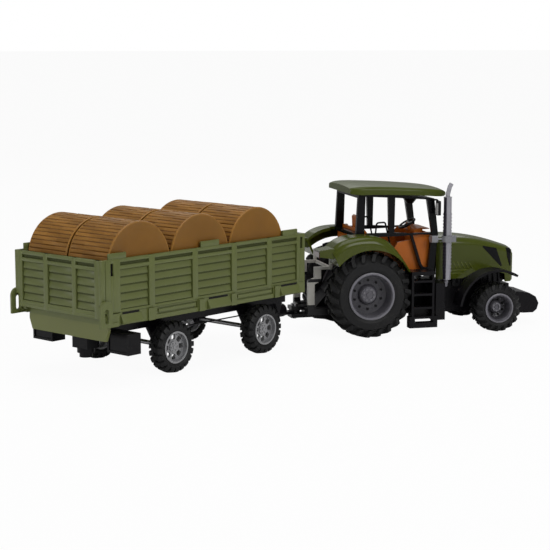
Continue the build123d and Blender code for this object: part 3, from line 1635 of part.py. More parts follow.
for sign, row in ((-1, "left"), (1, "right")):
    for index, place in ((-1, "front"), (0, "middle"), (1, "rear")):
        bale = make_bale(bale_middle_b + index * bale_pitch, bale_gap / 2, sign)
        save_trailer(bale, f"bale_{place}_{row}")
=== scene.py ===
import json
import math
import bmesh
import bpy
from mathutils import Matrix, Vector


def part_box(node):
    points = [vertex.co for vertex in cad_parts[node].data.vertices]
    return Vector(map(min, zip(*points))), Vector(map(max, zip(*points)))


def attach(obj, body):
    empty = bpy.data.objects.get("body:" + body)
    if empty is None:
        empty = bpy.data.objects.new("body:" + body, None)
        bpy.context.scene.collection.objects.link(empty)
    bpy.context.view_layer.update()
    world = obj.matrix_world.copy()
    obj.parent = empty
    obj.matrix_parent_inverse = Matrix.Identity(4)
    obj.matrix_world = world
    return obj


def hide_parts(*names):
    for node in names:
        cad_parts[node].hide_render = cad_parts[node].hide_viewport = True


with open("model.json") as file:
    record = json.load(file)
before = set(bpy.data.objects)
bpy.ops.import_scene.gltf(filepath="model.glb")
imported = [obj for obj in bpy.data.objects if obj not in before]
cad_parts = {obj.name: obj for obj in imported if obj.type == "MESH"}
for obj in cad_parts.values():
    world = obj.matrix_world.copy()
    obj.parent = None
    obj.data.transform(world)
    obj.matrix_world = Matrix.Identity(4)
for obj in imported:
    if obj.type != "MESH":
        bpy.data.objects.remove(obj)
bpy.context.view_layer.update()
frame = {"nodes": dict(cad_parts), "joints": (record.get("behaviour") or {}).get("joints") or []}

nodes = frame["nodes"]
joints = {joint["name"]: joint for joint in frame["joints"]}

# ---------------------------------------------------------------- table top, room and camera
# The toy stands on a wide sheet of white paper in a plain white room. Four large soft lamps
# hang above and around it, so its plastic shows broad, quiet highlights.
sheet_half_width = 30.0
sheet_form = bmesh.new()
bmesh.ops.create_grid(sheet_form, x_segments=1, y_segments=1, size=sheet_half_width)
sheet_mesh = bpy.data.meshes.new("white_sheet")
sheet_form.to_mesh(sheet_mesh)
sheet_form.free()
white_sheet = bpy.data.objects.new("white_sheet", sheet_mesh)
bpy.context.collection.objects.link(white_sheet)


def set_inputs(node, values):
    """Sets the inputs of a shader node by name."""
    for name, value in values.items():
        node.inputs[name].default_value = value


def white_for_camera(tree, lit, white, share, output):
    """Shows the camera a share of plain white, while light and reflections meet the lit shader."""
    ray = tree.nodes.new("ShaderNodeLightPath")
    amount = tree.nodes.new("ShaderNodeMath")
    amount.operation = "MULTIPLY"
    amount.inputs[1].default_value = share
    mix = tree.nodes.new("ShaderNodeMixShader")
    tree.links.new(ray.outputs["Is Camera Ray"], amount.inputs[0])
    tree.links.new(amount.outputs[0], mix.inputs[0])
    tree.links.new(lit.outputs[0], mix.inputs[1])
    tree.links.new(white.outputs[0], mix.inputs[2])
    tree.links.new(mix.outputs[0], tree.nodes[output].inputs[0])


paper = bpy.data.materials.new("white_paper")
paper.use_nodes = True
paper_shader = paper.node_tree.nodes["Principled BSDF"]
set_inputs(paper_shader, {"Base Color": (0.86, 0.86, 0.86, 1), "Roughness": 0.9,
                          "Specular IOR Level": 0.1})
paper_glow = paper.node_tree.nodes.new("ShaderNodeEmission")
set_inputs(paper_glow, {"Strength": 1.0})
paper_glow_share = 0.95
white_for_camera(paper.node_tree, paper_shader, paper_glow, paper_glow_share, "Material Output")
sheet_mesh.materials.append(paper)

room = bpy.data.worlds.new("room")
bpy.context.scene.world = room
room.use_nodes = True
room_fill = room.node_tree.nodes["Background"]
set_inputs(room_fill, {"Color": (1, 1, 1, 1), "Strength": 0.24})
room_white = room.node_tree.nodes.new("ShaderNodeBackground")
set_inputs(room_white, {"Color": (1, 1, 1, 1), "Strength": 1.0})
white_for_camera(room.node_tree, room_fill, room_white, 1.0, "World Output")

toy_middle = Vector((-0.08, -0.06, 0.06))
for lamp_name, spot, watts, breadth in (
    ("overhead", (-0.1, -0.1, 1.5), 9, 1.1),
    ("near_side", (0.5, -1.6, 1.0), 11, 0.9),
    ("tail_side", (-1.7, -0.5, 0.7), 5.5, 0.8),
    ("far_side", (0.4, 1.5, 1.1), 3.5, 1.0),
):
    lamp = bpy.data.lights.new(lamp_name, "AREA")
    lamp.energy = watts
    lamp.size = breadth
    lamp_object = bpy.data.objects.new(lamp_name, lamp)
    lamp_object.location = spot
    lamp_object.rotation_euler = (toy_middle - Vector(spot)).to_track_quat("-Z", "Y").to_euler()
    bpy.context.collection.objects.link(lamp_object)

sensor_width = 36
focal_length_over_width = 1596 / 550
camera_spot = (-0.48318, -1.46554, 0.28378)
camera_aim = Vector((0.26264, 0.95351, -0.14781))
lens = bpy.data.cameras.new("camera")
lens.sensor_width = sensor_width
lens.lens = focal_length_over_width * sensor_width
camera = bpy.data.objects.new("camera", lens)
camera.location = camera_spot
camera.rotation_euler = camera_aim.to_track_quat("-Z", "Y").to_euler()
bpy.context.collection.objects.link(camera)
bpy.context.scene.camera = camera
bpy.context.scene.view_settings.view_transform = "Standard"

# ---------------------------------------------------------------- hood, fenders and roof
# Every shell of the toy is injection moulded, and these are its glossiest. The shared skin has
# a faint orange peel, soft colour drift from the melt, light scuffs and a little dust on top.
skin = bpy.data.node_groups.new("moulded_skin", "ShaderNodeTree")
for socket, kind, start in (
    ("Vector", "NodeSocketVector", None),
    ("Colour", "NodeSocketColor", None),
    ("Drift", "NodeSocketFloat", 0.08),
    ("Scuff", "NodeSocketFloat", 0.1),
    ("Dust", "NodeSocketFloat", 0.05),
    ("Roughness", "NodeSocketFloat", 0.4),
    ("Peel", "NodeSocketFloat", 900.0),
):
    made = skin.interface.new_socket(socket, in_out="INPUT", socket_type=kind)
    if start is not None:
        made.default_value = start
skin.interface.new_socket("Colour", in_out="OUTPUT", socket_type="NodeSocketColor")
skin.interface.new_socket("Roughness", in_out="OUTPUT", socket_type="NodeSocketFloat")
skin.interface.new_socket("Height", in_out="OUTPUT", socket_type="NodeSocketFloat")
skin_in = skin.nodes.new("NodeGroupInput")
skin_out = skin.nodes.new("NodeGroupOutput")


def skin_noise(scale, detail, distortion=0.0):
    """A noise on the skin's own coordinates."""
    made = skin.nodes.new("ShaderNodeTexNoise")
    set_inputs(made, {"Scale": scale, "Detail": detail, "Distortion": distortion})
    skin.links.new(skin_in.outputs["Vector"], made.inputs["Vector"])
    return made


def node_math(tree, operation, *values):
    """The output of a new Math node. Each value is a number or an output to take it from."""
    made = tree.nodes.new("ShaderNodeMath")
    made.operation = operation
    for place, value in enumerate(values):
        if isinstance(value, (int, float)):
            made.inputs[place].default_value = value
        else:
            tree.links.new(value, made.inputs[place])
    return made.outputs[0]


# slow drift of brightness and gloss
drift_noise = skin_noise(28, 3)
drift_signed = node_math(skin, "SUBTRACT", drift_noise.outputs["Fac"], 0.5)
drift_scaled = node_math(skin, "MULTIPLY", drift_signed, skin_in.outputs["Drift"])
brightness = node_math(skin, "MULTIPLY_ADD", drift_scaled, 4.0, 1.0)
shade = skin.nodes.new("ShaderNodeHueSaturation")
skin.links.new(skin_in.outputs["Colour"], shade.inputs["Color"])
skin.links.new(brightness, shade.inputs["Value"])

# thin scuff lines, in patches
scuff_width = 0.006
scuff_patch_level = 0.56
scuff_noise = skin_noise(160, 6, 2.5)
scuff_line = node_math(skin, "SUBTRACT", scuff_noise.outputs["Fac"], 0.5)
scuff_line = node_math(skin, "ABSOLUTE", scuff_line)
scuff_line = node_math(skin, "LESS_THAN", scuff_line, scuff_width)
scuff_patch = node_math(skin, "GREATER_THAN", skin_noise(40, 2).outputs["Fac"], scuff_patch_level)
scuff_mask = node_math(skin, "MULTIPLY", scuff_line, scuff_patch)
scuff_mask = node_math(skin, "MULTIPLY", scuff_mask, skin_in.outputs["Scuff"])

# dust on what faces up
geometry = skin.nodes.new("ShaderNodeNewGeometry")
facing = skin.nodes.new("ShaderNodeSeparateXYZ")
skin.links.new(geometry.outputs["Normal"], facing.inputs[0])
facing_up = node_math(skin, "MAXIMUM", facing.outputs["Z"], 0.0)
dust_mask = node_math(skin, "MULTIPLY", facing_up, skin_noise(300, 4).outputs["Fac"])
dust_mask = node_math(skin, "MULTIPLY", dust_mask, skin_in.outputs["Dust"])

# scuffs and dust both pale the colour and dull the gloss
dust_colour = (0.30, 0.29, 0.25, 1)
pale_mask = node_math(skin, "MINIMUM", node_math(skin, "ADD", scuff_mask, dust_mask), 1.0)
pale = skin.nodes.new("ShaderNodeMix")
pale.data_type = "RGBA"
pale.inputs["B"].default_value = dust_colour
skin.links.new(pale_mask, pale.inputs["Factor"])
skin.links.new(shade.outputs["Color"], pale.inputs["A"])
skin.links.new(pale.outputs["Result"], skin_out.inputs["Colour"])
rough_drifted = node_math(skin, "MULTIPLY_ADD", drift_signed, 0.25, skin_in.outputs["Roughness"])
skin.links.new(node_math(skin, "MULTIPLY_ADD", pale_mask, 0.5, rough_drifted), skin_out.inputs["Roughness"])

# orange peel, cut through by the scuffs
peel_noise = skin_noise(900, 2)
skin.links.new(skin_in.outputs["Peel"], peel_noise.inputs["Scale"])
height = node_math(skin, "MULTIPLY_ADD", scuff_mask, -0.5, peel_noise.outputs["Fac"])
skin.links.new(height, skin_out.inputs["Height"])


peel_strength = 0.6
coat_rough = 0.08


def moulded(name, colour, rough=0.34, drift=0.08, scuff=0.08, dust=0.01, peel=1400, bump=0.00002,
            coat=0.0, metal=0.0, shine=0.35):
    """A moulded finish: one colour with the shared skin's drift, scuffs, dust and peel."""
    material = bpy.data.materials.new(name)
    material.use_nodes = True
    tree = material.node_tree
    place = tree.nodes.new("ShaderNodeTexCoord")
    group = tree.nodes.new("ShaderNodeGroup")
    group.node_tree = skin
    set_inputs(group, {"Colour": (*colour, 1), "Drift": drift, "Scuff": scuff, "Dust": dust,
                       "Roughness": rough, "Peel": peel})
    relief = tree.nodes.new("ShaderNodeBump")
    set_inputs(relief, {"Strength": peel_strength, "Distance": bump})
    shader = tree.nodes["Principled BSDF"]
    set_inputs(shader, {"Coat Weight": coat, "Coat Roughness": coat_rough, "Metallic": metal,
                        "Specular IOR Level": shine})
    tree.links.new(place.outputs["Object"], group.inputs["Vector"])
    tree.links.new(group.outputs["Height"], relief.inputs["Height"])
    tree.links.new(group.outputs["Colour"], shader.inputs["Base Color"])
    tree.links.new(group.outputs["Roughness"], shader.inputs["Roughness"])
    tree.links.new(relief.outputs["Normal"], shader.inputs["Normal"])
    return material


def dress(material, *names):
    """Puts one material on whole parts of the frame."""
    for name in names:
        node = nodes[name]
        node.data.materials.clear()
        node.data.materials.append(material)


tractor_paint = moulded("olive_paint", (0.060, 0.075, 0.006), rough=0.24, drift=0.05, scuff=0.04,
                        dust=0.006, bump=0.00001, coat=0.16, shine=0.20)
dress(tractor_paint, "hood", "rear_fenders")
roof_paint = moulded("roof_olive", (0.056, 0.072, 0.007), drift=0.05, scuff=0.04,
                     bump=0.00001, coat=0.08, shine=0.18)
dress(roof_paint, "roof")

# ---------------------------------------------------------------- chassis and black trim
# The frames under tractor and trailer, and the trim clipped to them, are moulded in black. The
# window frames of the cab and the headlamps come from a polished mould, so they are glossier.
black_plastic = moulded("black_plastic", (0.0045, 0.0040, 0.0054), rough=0.30, drift=0.10, scuff=0.05,
                        dust=0.003, peel=1500, shine=0.17)
dress(
    black_plastic, "chassis", "gearbox_cover", "weight_carrier", "front_weight", "front_mudguards",
    "nose_grille", "roof_lining", "roof_dome", "steering_wheel", "mirror_arms", "steps", "side_tanks",
    "rear_lamp_boxes", "trailer_chassis", "tow_hitch", "drawbar", "grab_rails",
)
gloss_black = moulded("gloss_black", (0.004, 0.004, 0.005), rough=0.22, drift=0.05, scuff=0.04, dust=0.002,
                      peel=1500, bump=0.00001, shine=0.14)
dress(gloss_black, "cab_frame", "headlamps")

# ---------------------------------------------------------------- cab, mirrors and tail lamps
# The cab's tub, console, seat and column are moulded in orange and drop in from below. The
# mirror glasses are plain grey plates, and the tail lamps are glossy red lenses pushed in.
cab_plastic = moulded("cab_orange", (0.52, 0.135, 0.012), drift=0.06, scuff=0.06, shine=0.3)
dress(cab_plastic, "cab_tub", "dash_console", "seat", "steering_column")
mirror_plastic = moulded("link_grey", (0.46, 0.46, 0.46), rough=0.36, drift=0.06)
dress(mirror_plastic, "mirror_plates")
lamp_red = moulded("lamp_red", (0.12, 0.008, 0.006), rough=0.12, drift=0.02, scuff=0.03, dust=0.0,
                   bump=0.00001, coat=0.6)
dress(lamp_red, "tail_lamps")

# ---------------------------------------------------------------- tyres and trailer rims
# The tyres are dull black rubber, moulded with their tread and stretched over the rims. The
# trailer's rims are moulded in a plastic with metal flake.
tyre_rubber = moulded("tyre_rubber", (0.0105, 0.0105, 0.011), rough=0.52, drift=0.12, scuff=0.12, dust=0.02,
                      peel=1100, bump=0.00005, shine=0.24)
dress(tyre_rubber, "rear_tyres", "front_tyres", "trailer_front_tyres", "trailer_rear_tyres")
silver_plastic = moulded("rim_silver", (0.33, 0.33, 0.34), scuff=0.10, dust=0.02, metal=0.5)
dress(silver_plastic, "trailer_front_rims", "trailer_rear_rims")

# ---------------------------------------------------------------- axles, screws and friction motor
# The axles, the hitch pin and the screws are turned from bright steel. Inside the chassis two
# white plastic gears drive a small flywheel of sintered iron.
steel = moulded("steel", (0.42, 0.42, 0.43), rough=0.30, scuff=0.3, dust=0.0, peel=900, metal=1.0)
dress(steel, "rear_axle", "front_axle", "trailer_front_axle", "trailer_rear_axle", "hitch_pin",
      "chassis_screws")
gear_plastic = moulded("gear_white", (0.66, 0.65, 0.60), rough=0.38, drift=0.04, scuff=0.05, dust=0.0,
                       peel=900)
dress(gear_plastic, "drive_gear", "idler_gear")
iron = moulded("flywheel_iron", (0.12, 0.12, 0.125), rough=0.42, drift=0.10, scuff=0.3, dust=0.0,
               peel=900, metal=0.9)
dress(iron, "flywheel")

# ---------------------------------------------------------------- trailer bed and sill covers
# The trailer's bed and apron are moulded in a paler olive. Three wedge-shaped covers are clipped
# to each sill; they stand proud at their lower edge and leave a finger gap above, darkened by a black strip
# of painted shade.
trailer_plastic = moulded("trailer_olive", (0.124, 0.144, 0.043), drift=0.06, dust=0.015,
                          peel=1200, shine=0.45)
dress(trailer_plastic, "trailer_bed")
apron_plastic = moulded("apron_olive", (0.165, 0.180, 0.062), rough=0.40, drift=0.05, scuff=0.06, peel=1200)
dress(apron_plastic, "rear_apron")

# the trailer's pieces are drawn straight behind the pin, then turned to where it is parked
axle_line = joints["trailer_front_wheels_roll"]["axis"]
trailer_turn = math.atan2(-axle_line[0], axle_line[1])
hitch = joints["trailer_swing"]["pos_m"]
trailer_place = Matrix.Translation((hitch[0], hitch[1], 0)) @ Matrix.Rotation(trailer_turn, 4, "Z")


def trailer_point(back, right, up):
    """A point of the trailer in millimetres: back from the hitch pin, to the right, and up."""
    return Vector((-back / 1000, -right / 1000, up / 1000))


sharp_angle = math.radians(38)


def finish_piece(form, name, material, body, place=None, smooth=True):
    """Turns a bmesh into a named piece with one material, riding on one body."""
    if place is not None:
        bmesh.ops.transform(form, matrix=place, verts=form.verts)
    bmesh.ops.recalc_face_normals(form, faces=form.faces)
    mesh = bpy.data.meshes.new(name)
    form.to_mesh(mesh)
    form.free()
    mesh.materials.append(material)
    if smooth:
        mesh.shade_smooth()
        mesh.set_sharp_from_angle(angle=sharp_angle)
    made = bpy.data.objects.new(name, mesh)
    bpy.context.collection.objects.link(made)
    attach(made, body)
    return made


def add_prism(form, outline, offset, ease):
    """Adds a closed prism to a bmesh: an outline pushed along an offset, its edges eased by millimetres."""
    corners = [form.verts.new(point) for point in outline]
    face = form.faces.new(corners)
    grown = bmesh.ops.extrude_face_region(form, geom=[face], use_keep_orig=True)["geom"]
    far = [item for item in grown if isinstance(item, bmesh.types.BMVert)]
    bmesh.ops.translate(form, vec=offset, verts=far)
    if ease:
        block = set(corners) | set(far)
        edges = [edge for edge in form.edges if edge.verts[0] in block and edge.verts[1] in block]
        bmesh.ops.bevel(form, geom=edges, offset=ease / 1000, offset_type="OFFSET", affect="EDGES",
                        segments=2, profile=0.5, material=-1)


def sill_bars(profile, spans, sign, ease):
    """Bars along one sill: one cross-section, given to the side and up, over several spans."""
    bars = bmesh.new()
    for start, end in spans:
        outline = [trailer_point(start, sign * across, up) for across, up in profile]
        add_prism(bars, outline, trailer_point(end - start, 0, 0), ease)
    return bars


cover_profile = ((54.2, 59.5), (55.0, 59.5), (58.0, 53.2), (58.0, 52.0), (54.2, 51.0))
cover_spans = ((57.4, 82.8), (149.3, 176.6), (255.2, 278.0))
# black strips of painted shade fill the finger gaps above the covers
gap_shade_profile = ((54.2, 61.1), (54.7, 61.1), (54.7, 59.3), (54.2, 59.3))
gap_shade_inset = 2.0
gap_shade_spans = [(start + gap_shade_inset, end - gap_shade_inset) for start, end in cover_spans]
cover_ease = 0.4
hands = ((1, "right"), (-1, "left"))
for sign, hand in hands:
    form = sill_bars(cover_profile, cover_spans, sign, cover_ease)
    covers = finish_piece(form, f"sill_covers_{hand}", trailer_plastic, "trailer", trailer_place)
    form = sill_bars(gap_shade_profile, gap_shade_spans, sign, 0)
    gap_shade = finish_piece(form, f"sill_gap_shade_{hand}", black_plastic, "trailer", trailer_place)

# ---------------------------------------------------------------- plank walls of the trailer
# Both sides, the front and the tailgate are moulded to look like planks held between posts,
# with a rim rail and a second rail above them. Each plank leans back at its top edge, and
# every edge is eased, so the rails catch a thin line of light.
wall_thick = 3.0
wall_top = 105.5
rim_rail = (102.5, wall_top)
second_rail = (96.7, 99.7)
plank_low = 63.0
plank_rows = 5
plank_pitch = (second_rail[0] - plank_low) / plank_rows
plank_joint = 0.9
plank_lean = 1.25
plank_depth = (0.75, 2.2)
plank_end_gap = 0.7
sill_rail_high = plank_low + 0.4
rail_depth = 0.15
backing_depth = 2.0
shade_height = (plank_low + 0.2, rim_rail[0] + 0.3)
shade_depth = (1.85, 2.35)
shade_overlap = 0.2
# a dark olive sheet set behind the planks is painted shade in their joints and in the band between the
# rails
painted_shade_plastic = moulded("painted_shade_olive", (0.058, 0.068, 0.020), rough=0.5, drift=0.06, scuff=0.04,
                        peel=1200, shine=0.2)


def wall_block(form, spot, span, depth, height, lean=0.0, ease=0.25):
    """A bar of a wall, given along it, by depth behind its outer face, and by height."""
    outline = [
        spot(span[0], depth[0], height[0]),
        spot(span[0], depth[0] + lean, height[1]),
        spot(span[0], depth[1], height[1]),
        spot(span[0], depth[1], height[0]),
    ]
    add_prism(form, outline, spot(span[1], 0, 0) - spot(span[0], 0, 0), ease)


def bays_between(posts):
    """The stretches of planks between one post and the next."""
    return [(before[1], after[0]) for before, after in zip(posts[:-1], posts[1:])]


def plank_wall(form, spot, span, thick, foot, posts, bays):
    """Backing, rails, posts and the rows of leaning planks of one wall."""
    wall_block(form, spot, span, (backing_depth, thick), (foot, wall_top))
    for rail in (rim_rail, second_rail, (foot, sill_rail_high)):
        wall_block(form, spot, span, (rail_depth, thick), rail)
    for post in posts:
        wall_block(form, spot, post, (0.0, thick), (foot, wall_top))
    for start, end in bays:
        for row in range(plank_rows):
            plank_foot = plank_low + row * plank_pitch
            wall_block(form, spot, (start + plank_end_gap, end - plank_end_gap), plank_depth,
                       (plank_foot + plank_joint, plank_foot + plank_pitch), plank_lean)


def wall_shade(name, spot, bays, body):
    """A dark sheet of painted shade, seen in the joints between the planks and in the band between the
    rails.
    """
    shade_form = bmesh.new()
    for start, end in bays:
        span = (start - shade_overlap, end + shade_overlap)
        wall_block(shade_form, spot, span, shade_depth, shade_height, ease=0)
    finish_piece(shade_form, name, painted_shade_plastic, body, trailer_place)


def finish_wall(form, name, body, plain_wall):
    """Turns a wall into a piece that stands in for the frame's plain wall."""
    board = finish_piece(form, name, trailer_plastic, body, trailer_place)
    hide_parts(plain_wall)


# the sides, with slotted corner posts and three raised tabs on the rim; a black block of painted shade sits
# deep in each slot
side_face = 54.4
side_span = (58.6, 277.9)
side_foot = 61.1
side_posts = ((92.9, 99.4), (138.9, 145.4), (187.4, 193.9), (238.6, 245.1))
side_bays = bays_between(((59.0, 59.0), *side_posts, (277.5, 277.5)))
corner_posts = ((48.0, 52.6, 59.0, side_foot), (277.5, 286.5, 293.6, 61.5))
slot_half_width = 1.5
slot_height = (92.0, 102.3)
slot_shade_depth = (1.4, 2.4)
slot_back = 2.3
overlap = 0.1
tab_spans = ((57.6, 77.4), (160.5, 183.2), (270.0, 289.5))
tab_depth = (0.6, 2.5)
tab_height = (104.5, 110.4)


def side_spots(sign):
    """Gives the points of one side: back along it, by depth behind its outer face, and up."""
    return lambda along, depth, up: trailer_point(along, sign * (side_face - depth), up)


for sign, hand in hands:
    side_spot = side_spots(sign)
    wall, slot_shade_form = bmesh.new(), bmesh.new()
    plank_wall(wall, side_spot, side_span, wall_thick, side_foot, side_posts, side_bays)
    wall_shade(f"wall_shade_{hand}", side_spot, side_bays, "trailer")
    for start, slot_middle, end, foot in corner_posts:
        slot_span = (slot_middle - slot_half_width, slot_middle + slot_half_width)
        bridge_span = (slot_span[0] - overlap, slot_span[1] + overlap)
        for span, depth, height in (
            ((start, slot_span[0]), 0.0, (foot, wall_top)),
            ((slot_span[1], end), 0.0, (foot, wall_top)),
            (bridge_span, 0.0, (foot, slot_height[0])),
            (bridge_span, 0.0, (slot_height[1], wall_top)),
            (bridge_span, slot_back, (slot_height[0] - overlap, slot_height[1] + overlap)),
        ):
            wall_block(wall, side_spot, span, (depth, wall_thick), height)
        # the black block in the slot is painted shade
        wall_block(slot_shade_form, side_spot, slot_span, slot_shade_depth, slot_height, ease=0.1)
    for span in tab_spans:
        wall_block(wall, side_spot, span, tab_depth, tab_height, ease=0.5)
    finish_wall(wall, f"plank_wall_{hand}", "trailer", f"side_wall_{hand}")
    slot_shades = finish_piece(slot_shade_form, f"wall_slot_shade_{hand}", black_plastic, "trailer", trailer_place)

# the front wall
front_face = 48.0
front_span = (-51.3, 51.3)
front_foot = 63.1
front_posts = ((-51.3, -44.7), (-20.2, -13.8), (13.8, 20.2), (44.7, 51.3))


def front_spot(along, depth, up):
    """A point of the front wall: to the right, by depth behind its outer face, and up."""
    return trailer_point(front_face + depth, along, up)


front = bmesh.new()
plank_wall(front, front_spot, front_span, wall_thick, front_foot, front_posts, bays_between(front_posts))
wall_shade("wall_shade_front", front_spot, bays_between(front_posts), "trailer")
finish_wall(front, "plank_front", "trailer", "front_wall")

# the tailgate, hung by two arms on its pins, with a rolled foot
gate_face = 298.0
gate_span = (-50.7, 50.7)
gate_thick = 4.0
gate_foot = 57.7
gate_posts = ((-50.8, -45.4), (-17.9, -12.5), (17.9, 22.7), (45.4, 50.8))
gate_stile, gate_stile_low = (50.6, 54.4), 68.5
arm_reach, arm_depth, arm_height = (47.0, 50.5), (3.0, 7.2), (57.6, 60.0)
pin_back, pin_up = 290.8, 57.0
pin_reach, pin_radius, eye_radius = (50.0, 54.3), 1.6, 2.9
roll_back, roll_up, roll_radius = 296.7, 60.0, 1.3


def gate_spot(along, depth, up):
    """A point of the tailgate: to the right, by depth in front of its outer face, and up."""
    return trailer_point(gate_face - depth, along, up)


def ring_prism(form, centre, radius, offset, sides=16):
    """A round bar lying across the toy, from a centre point along an offset."""
    angles = [2 * math.pi * k / sides for k in range(sides)]
    outline = [centre + radius / 1000 * Vector((math.cos(angle), 0, math.sin(angle))) for angle in angles]
    add_prism(form, outline, offset, 0)


def cross_bar(form, back, up, radius, span):
    """A round bar across the trailer, over a span to the right."""
    start = trailer_point(back, span[0], up)
    ring_prism(form, start, radius, trailer_point(0, span[1] - span[0], 0))


gate = bmesh.new()
plank_wall(gate, gate_spot, gate_span, gate_thick, gate_foot, gate_posts, bays_between(gate_posts))
wall_shade("wall_shade_gate", gate_spot, bays_between(gate_posts), "gate")
for sign in (-1, 1):
    stile_span, arm_span, pin_span = (sorted(sign * reach for reach in span)
                                      for span in (gate_stile, arm_reach, pin_reach))
    wall_block(gate, gate_spot, stile_span, (0.0, gate_thick), (gate_stile_low, wall_top))
    wall_block(gate, gate_spot, arm_span, arm_depth, arm_height)
    cross_bar(gate, pin_back, pin_up, eye_radius, arm_span)
    cross_bar(gate, pin_back, pin_up, pin_radius, pin_span)
cross_bar(gate, roll_back, roll_up, roll_radius, gate_span)
finish_wall(gate, "plank_gate", "gate", "tailgate")

# ---------------------------------------------------------------- nose lenses
# A dark glossy lens wraps each corner of the nose. It is pressed into the hood, so it is drawn
# as a skin lifted a hair off the hood's own surface and cut to the lens's outline.
lens_outline = ((149.6, 77.6), (156.9, 77.0), (156.9, 59.5), (154.4, 59.5), (152.6, 68.5))
lens_lift = 0.22
weld_distance = 0.01
flank_facing = 0.25
flank_start = 10
flank_depth = 6


def tractor_point(forward, left, up):
    """A point of the tractor in millimetres: forward from its rear axle, to the left, and up."""
    return Vector((forward / 1000, left / 1000, up / 1000))


def hood_patch(name, outline, side, lift, material):
    """A patch of the hood's own surface, cut to an outline seen from the side and lifted off it."""
    form = bmesh.new()
    form.from_mesh(nodes["hood"].data)
    bmesh.ops.remove_doubles(form, verts=form.verts, dist=weld_distance / 1000)
    # only the flank of one side is kept
    inner = [face for face in form.faces
             if face.normal.y * side < flank_facing
             or face.calc_center_median().y * side < flank_start / 1000]
    bmesh.ops.delete(form, geom=inner, context="FACES")
    points = [tractor_point(forward, 0, up) for forward, up in outline]
    middle = sum(points, Vector()) / len(points)
    for first, second in zip(points, points[1:] + points[:1]):
        edge = second - first
        outwards = Vector((edge.z, 0, -edge.x)).normalized()
        if (middle - first).dot(outwards) > 0:
            outwards = -outwards
        everything = form.verts[:] + form.edges[:] + form.faces[:]
        bmesh.ops.bisect_plane(form, geom=everything, plane_co=first, plane_no=outwards, clear_outer=True)
    # and of that, only its outer skin
    outermost = max((face.calc_center_median().y * side for face in form.faces), default=0)
    under = [face for face in form.faces
             if face.calc_center_median().y * side < outermost - flank_depth / 1000]
    bmesh.ops.delete(form, geom=under, context="FACES")
    bmesh.ops.solidify(form, geom=form.faces, thickness=-lift / 1000)
    return finish_piece(form, name, material, "tractor", smooth=False)


flanks = ((-1, "right"), (1, "left"))
for side, hand in flanks:
    hood_patch(f"nose_lens_{hand}", lens_outline, side, lens_lift, gloss_black)

# ---------------------------------------------------------------- hood louvres
# Slanted cooling louvres are pressed low in each side of the hood, above two long steps that
# stiffen its lower edge. They are part of the painted hood moulding, drawn in a lighter, glossier copy of
# its paint as a painted highlight.
# the lighter olive of the louvres and steps is painted highlight on their edges
louvre_highlight_paint = moulded("louvre_highlight_olive", (0.100, 0.122, 0.012), rough=0.22, drift=0.05, scuff=0.04,
                       bump=0.00001, coat=0.5)
louvre_count = 6
louvre_start = 88.5
louvre_pitch = 4.2
louvre_width = 1.1
louvre_slant = 3.6
louvre_low = 59.8
louvre_high = 68.0
louvre_fall = 0.6
louvre_rise = 1.2
step_start = 86.0
step_height = 1.0
step_rise = 1.0
step_slant = 1.6
steps = ((57.5, 108.0), (54.5, 105.0))
rib_ease = 0.2
rib_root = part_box("hood")[1].y * 1000 - 0.9


def flank_rib(form, side, outline, root, rise, ease):
    """A rib on one flank of the tractor: an outline, given forward and up, raised off its root."""
    add_prism(form, [tractor_point(forward, side * root, up) for forward, up in outline],
              tractor_point(0, side * rise, 0), ease)


for side, hand in flanks:
    ribs = bmesh.new()
    for index in range(louvre_count):
        start = louvre_start + louvre_pitch * index
        high = louvre_high - louvre_fall * index
        outline = ((start, high), (start + louvre_width, high),
                   (start + louvre_slant + louvre_width, louvre_low), (start + louvre_slant, louvre_low))
        flank_rib(ribs, side, outline, rib_root, louvre_rise, rib_ease)
    for low, end in steps:
        outline = ((step_start, low), (end, low), (end + step_slant, low + step_height),
                   (step_start, low + step_height))
        flank_rib(ribs, side, outline, rib_root, step_rise, rib_ease)
    finish_piece(ribs, f"hood_louvres_{hand}", louvre_highlight_paint, "tractor")

# ---------------------------------------------------------------- exhaust
# The stack is a dark pipe behind a paler ribbed heat shield that wraps its front half. Both are
# one moulding, held to the cab by a grey plastic clamp.
shield_grey = (0.36, 0.355, 0.39)
pipe_grey = (0.030, 0.026, 0.040)
shield_back = 0.0784
shield_low, shield_high = 0.0525, 0.1318


def object_axes(tree):
    """The outputs X, Y and Z of a point's place on the toy."""
    place = tree.nodes.new("ShaderNodeTexCoord")
    axes = tree.nodes.new("ShaderNodeSeparateXYZ")
    tree.links.new(place.outputs["Object"], axes.inputs[0])
    return axes.outputs


def tone_over(material, tone):
    """Gives a moulded finish a colour that changes over the piece."""
    group = next(node for node in material.node_tree.nodes if node.type == "GROUP")
    material.node_tree.links.new(tone, group.inputs["Colour"])


exhaust_plastic = moulded("exhaust_grey", shield_grey, dust=0.02, metal=0.2)
exhaust_tree = exhaust_plastic.node_tree
stack_axes = object_axes(exhaust_tree)
behind = node_math(exhaust_tree, "LESS_THAN", stack_axes["X"], shield_back)
above = node_math(exhaust_tree, "GREATER_THAN", stack_axes["Z"], shield_low)
below = node_math(exhaust_tree, "LESS_THAN", stack_axes["Z"], shield_high)
pipe_mask = node_math(exhaust_tree, "MULTIPLY", node_math(exhaust_tree, "MULTIPLY", behind, above), below)
stack_tone = exhaust_tree.nodes.new("ShaderNodeMix")
stack_tone.data_type = "RGBA"
set_inputs(stack_tone, {"A": (*shield_grey, 1), "B": (*pipe_grey, 1)})
exhaust_tree.links.new(pipe_mask, stack_tone.inputs["Factor"])
tone_over(exhaust_plastic, stack_tone.outputs["Result"])
dress(exhaust_plastic, "exhaust_stack")
clamp_plastic = moulded("clamp_grey", (0.24, 0.24, 0.26), rough=0.30, metal=0.2)
dress(clamp_plastic, "exhaust_clamp")

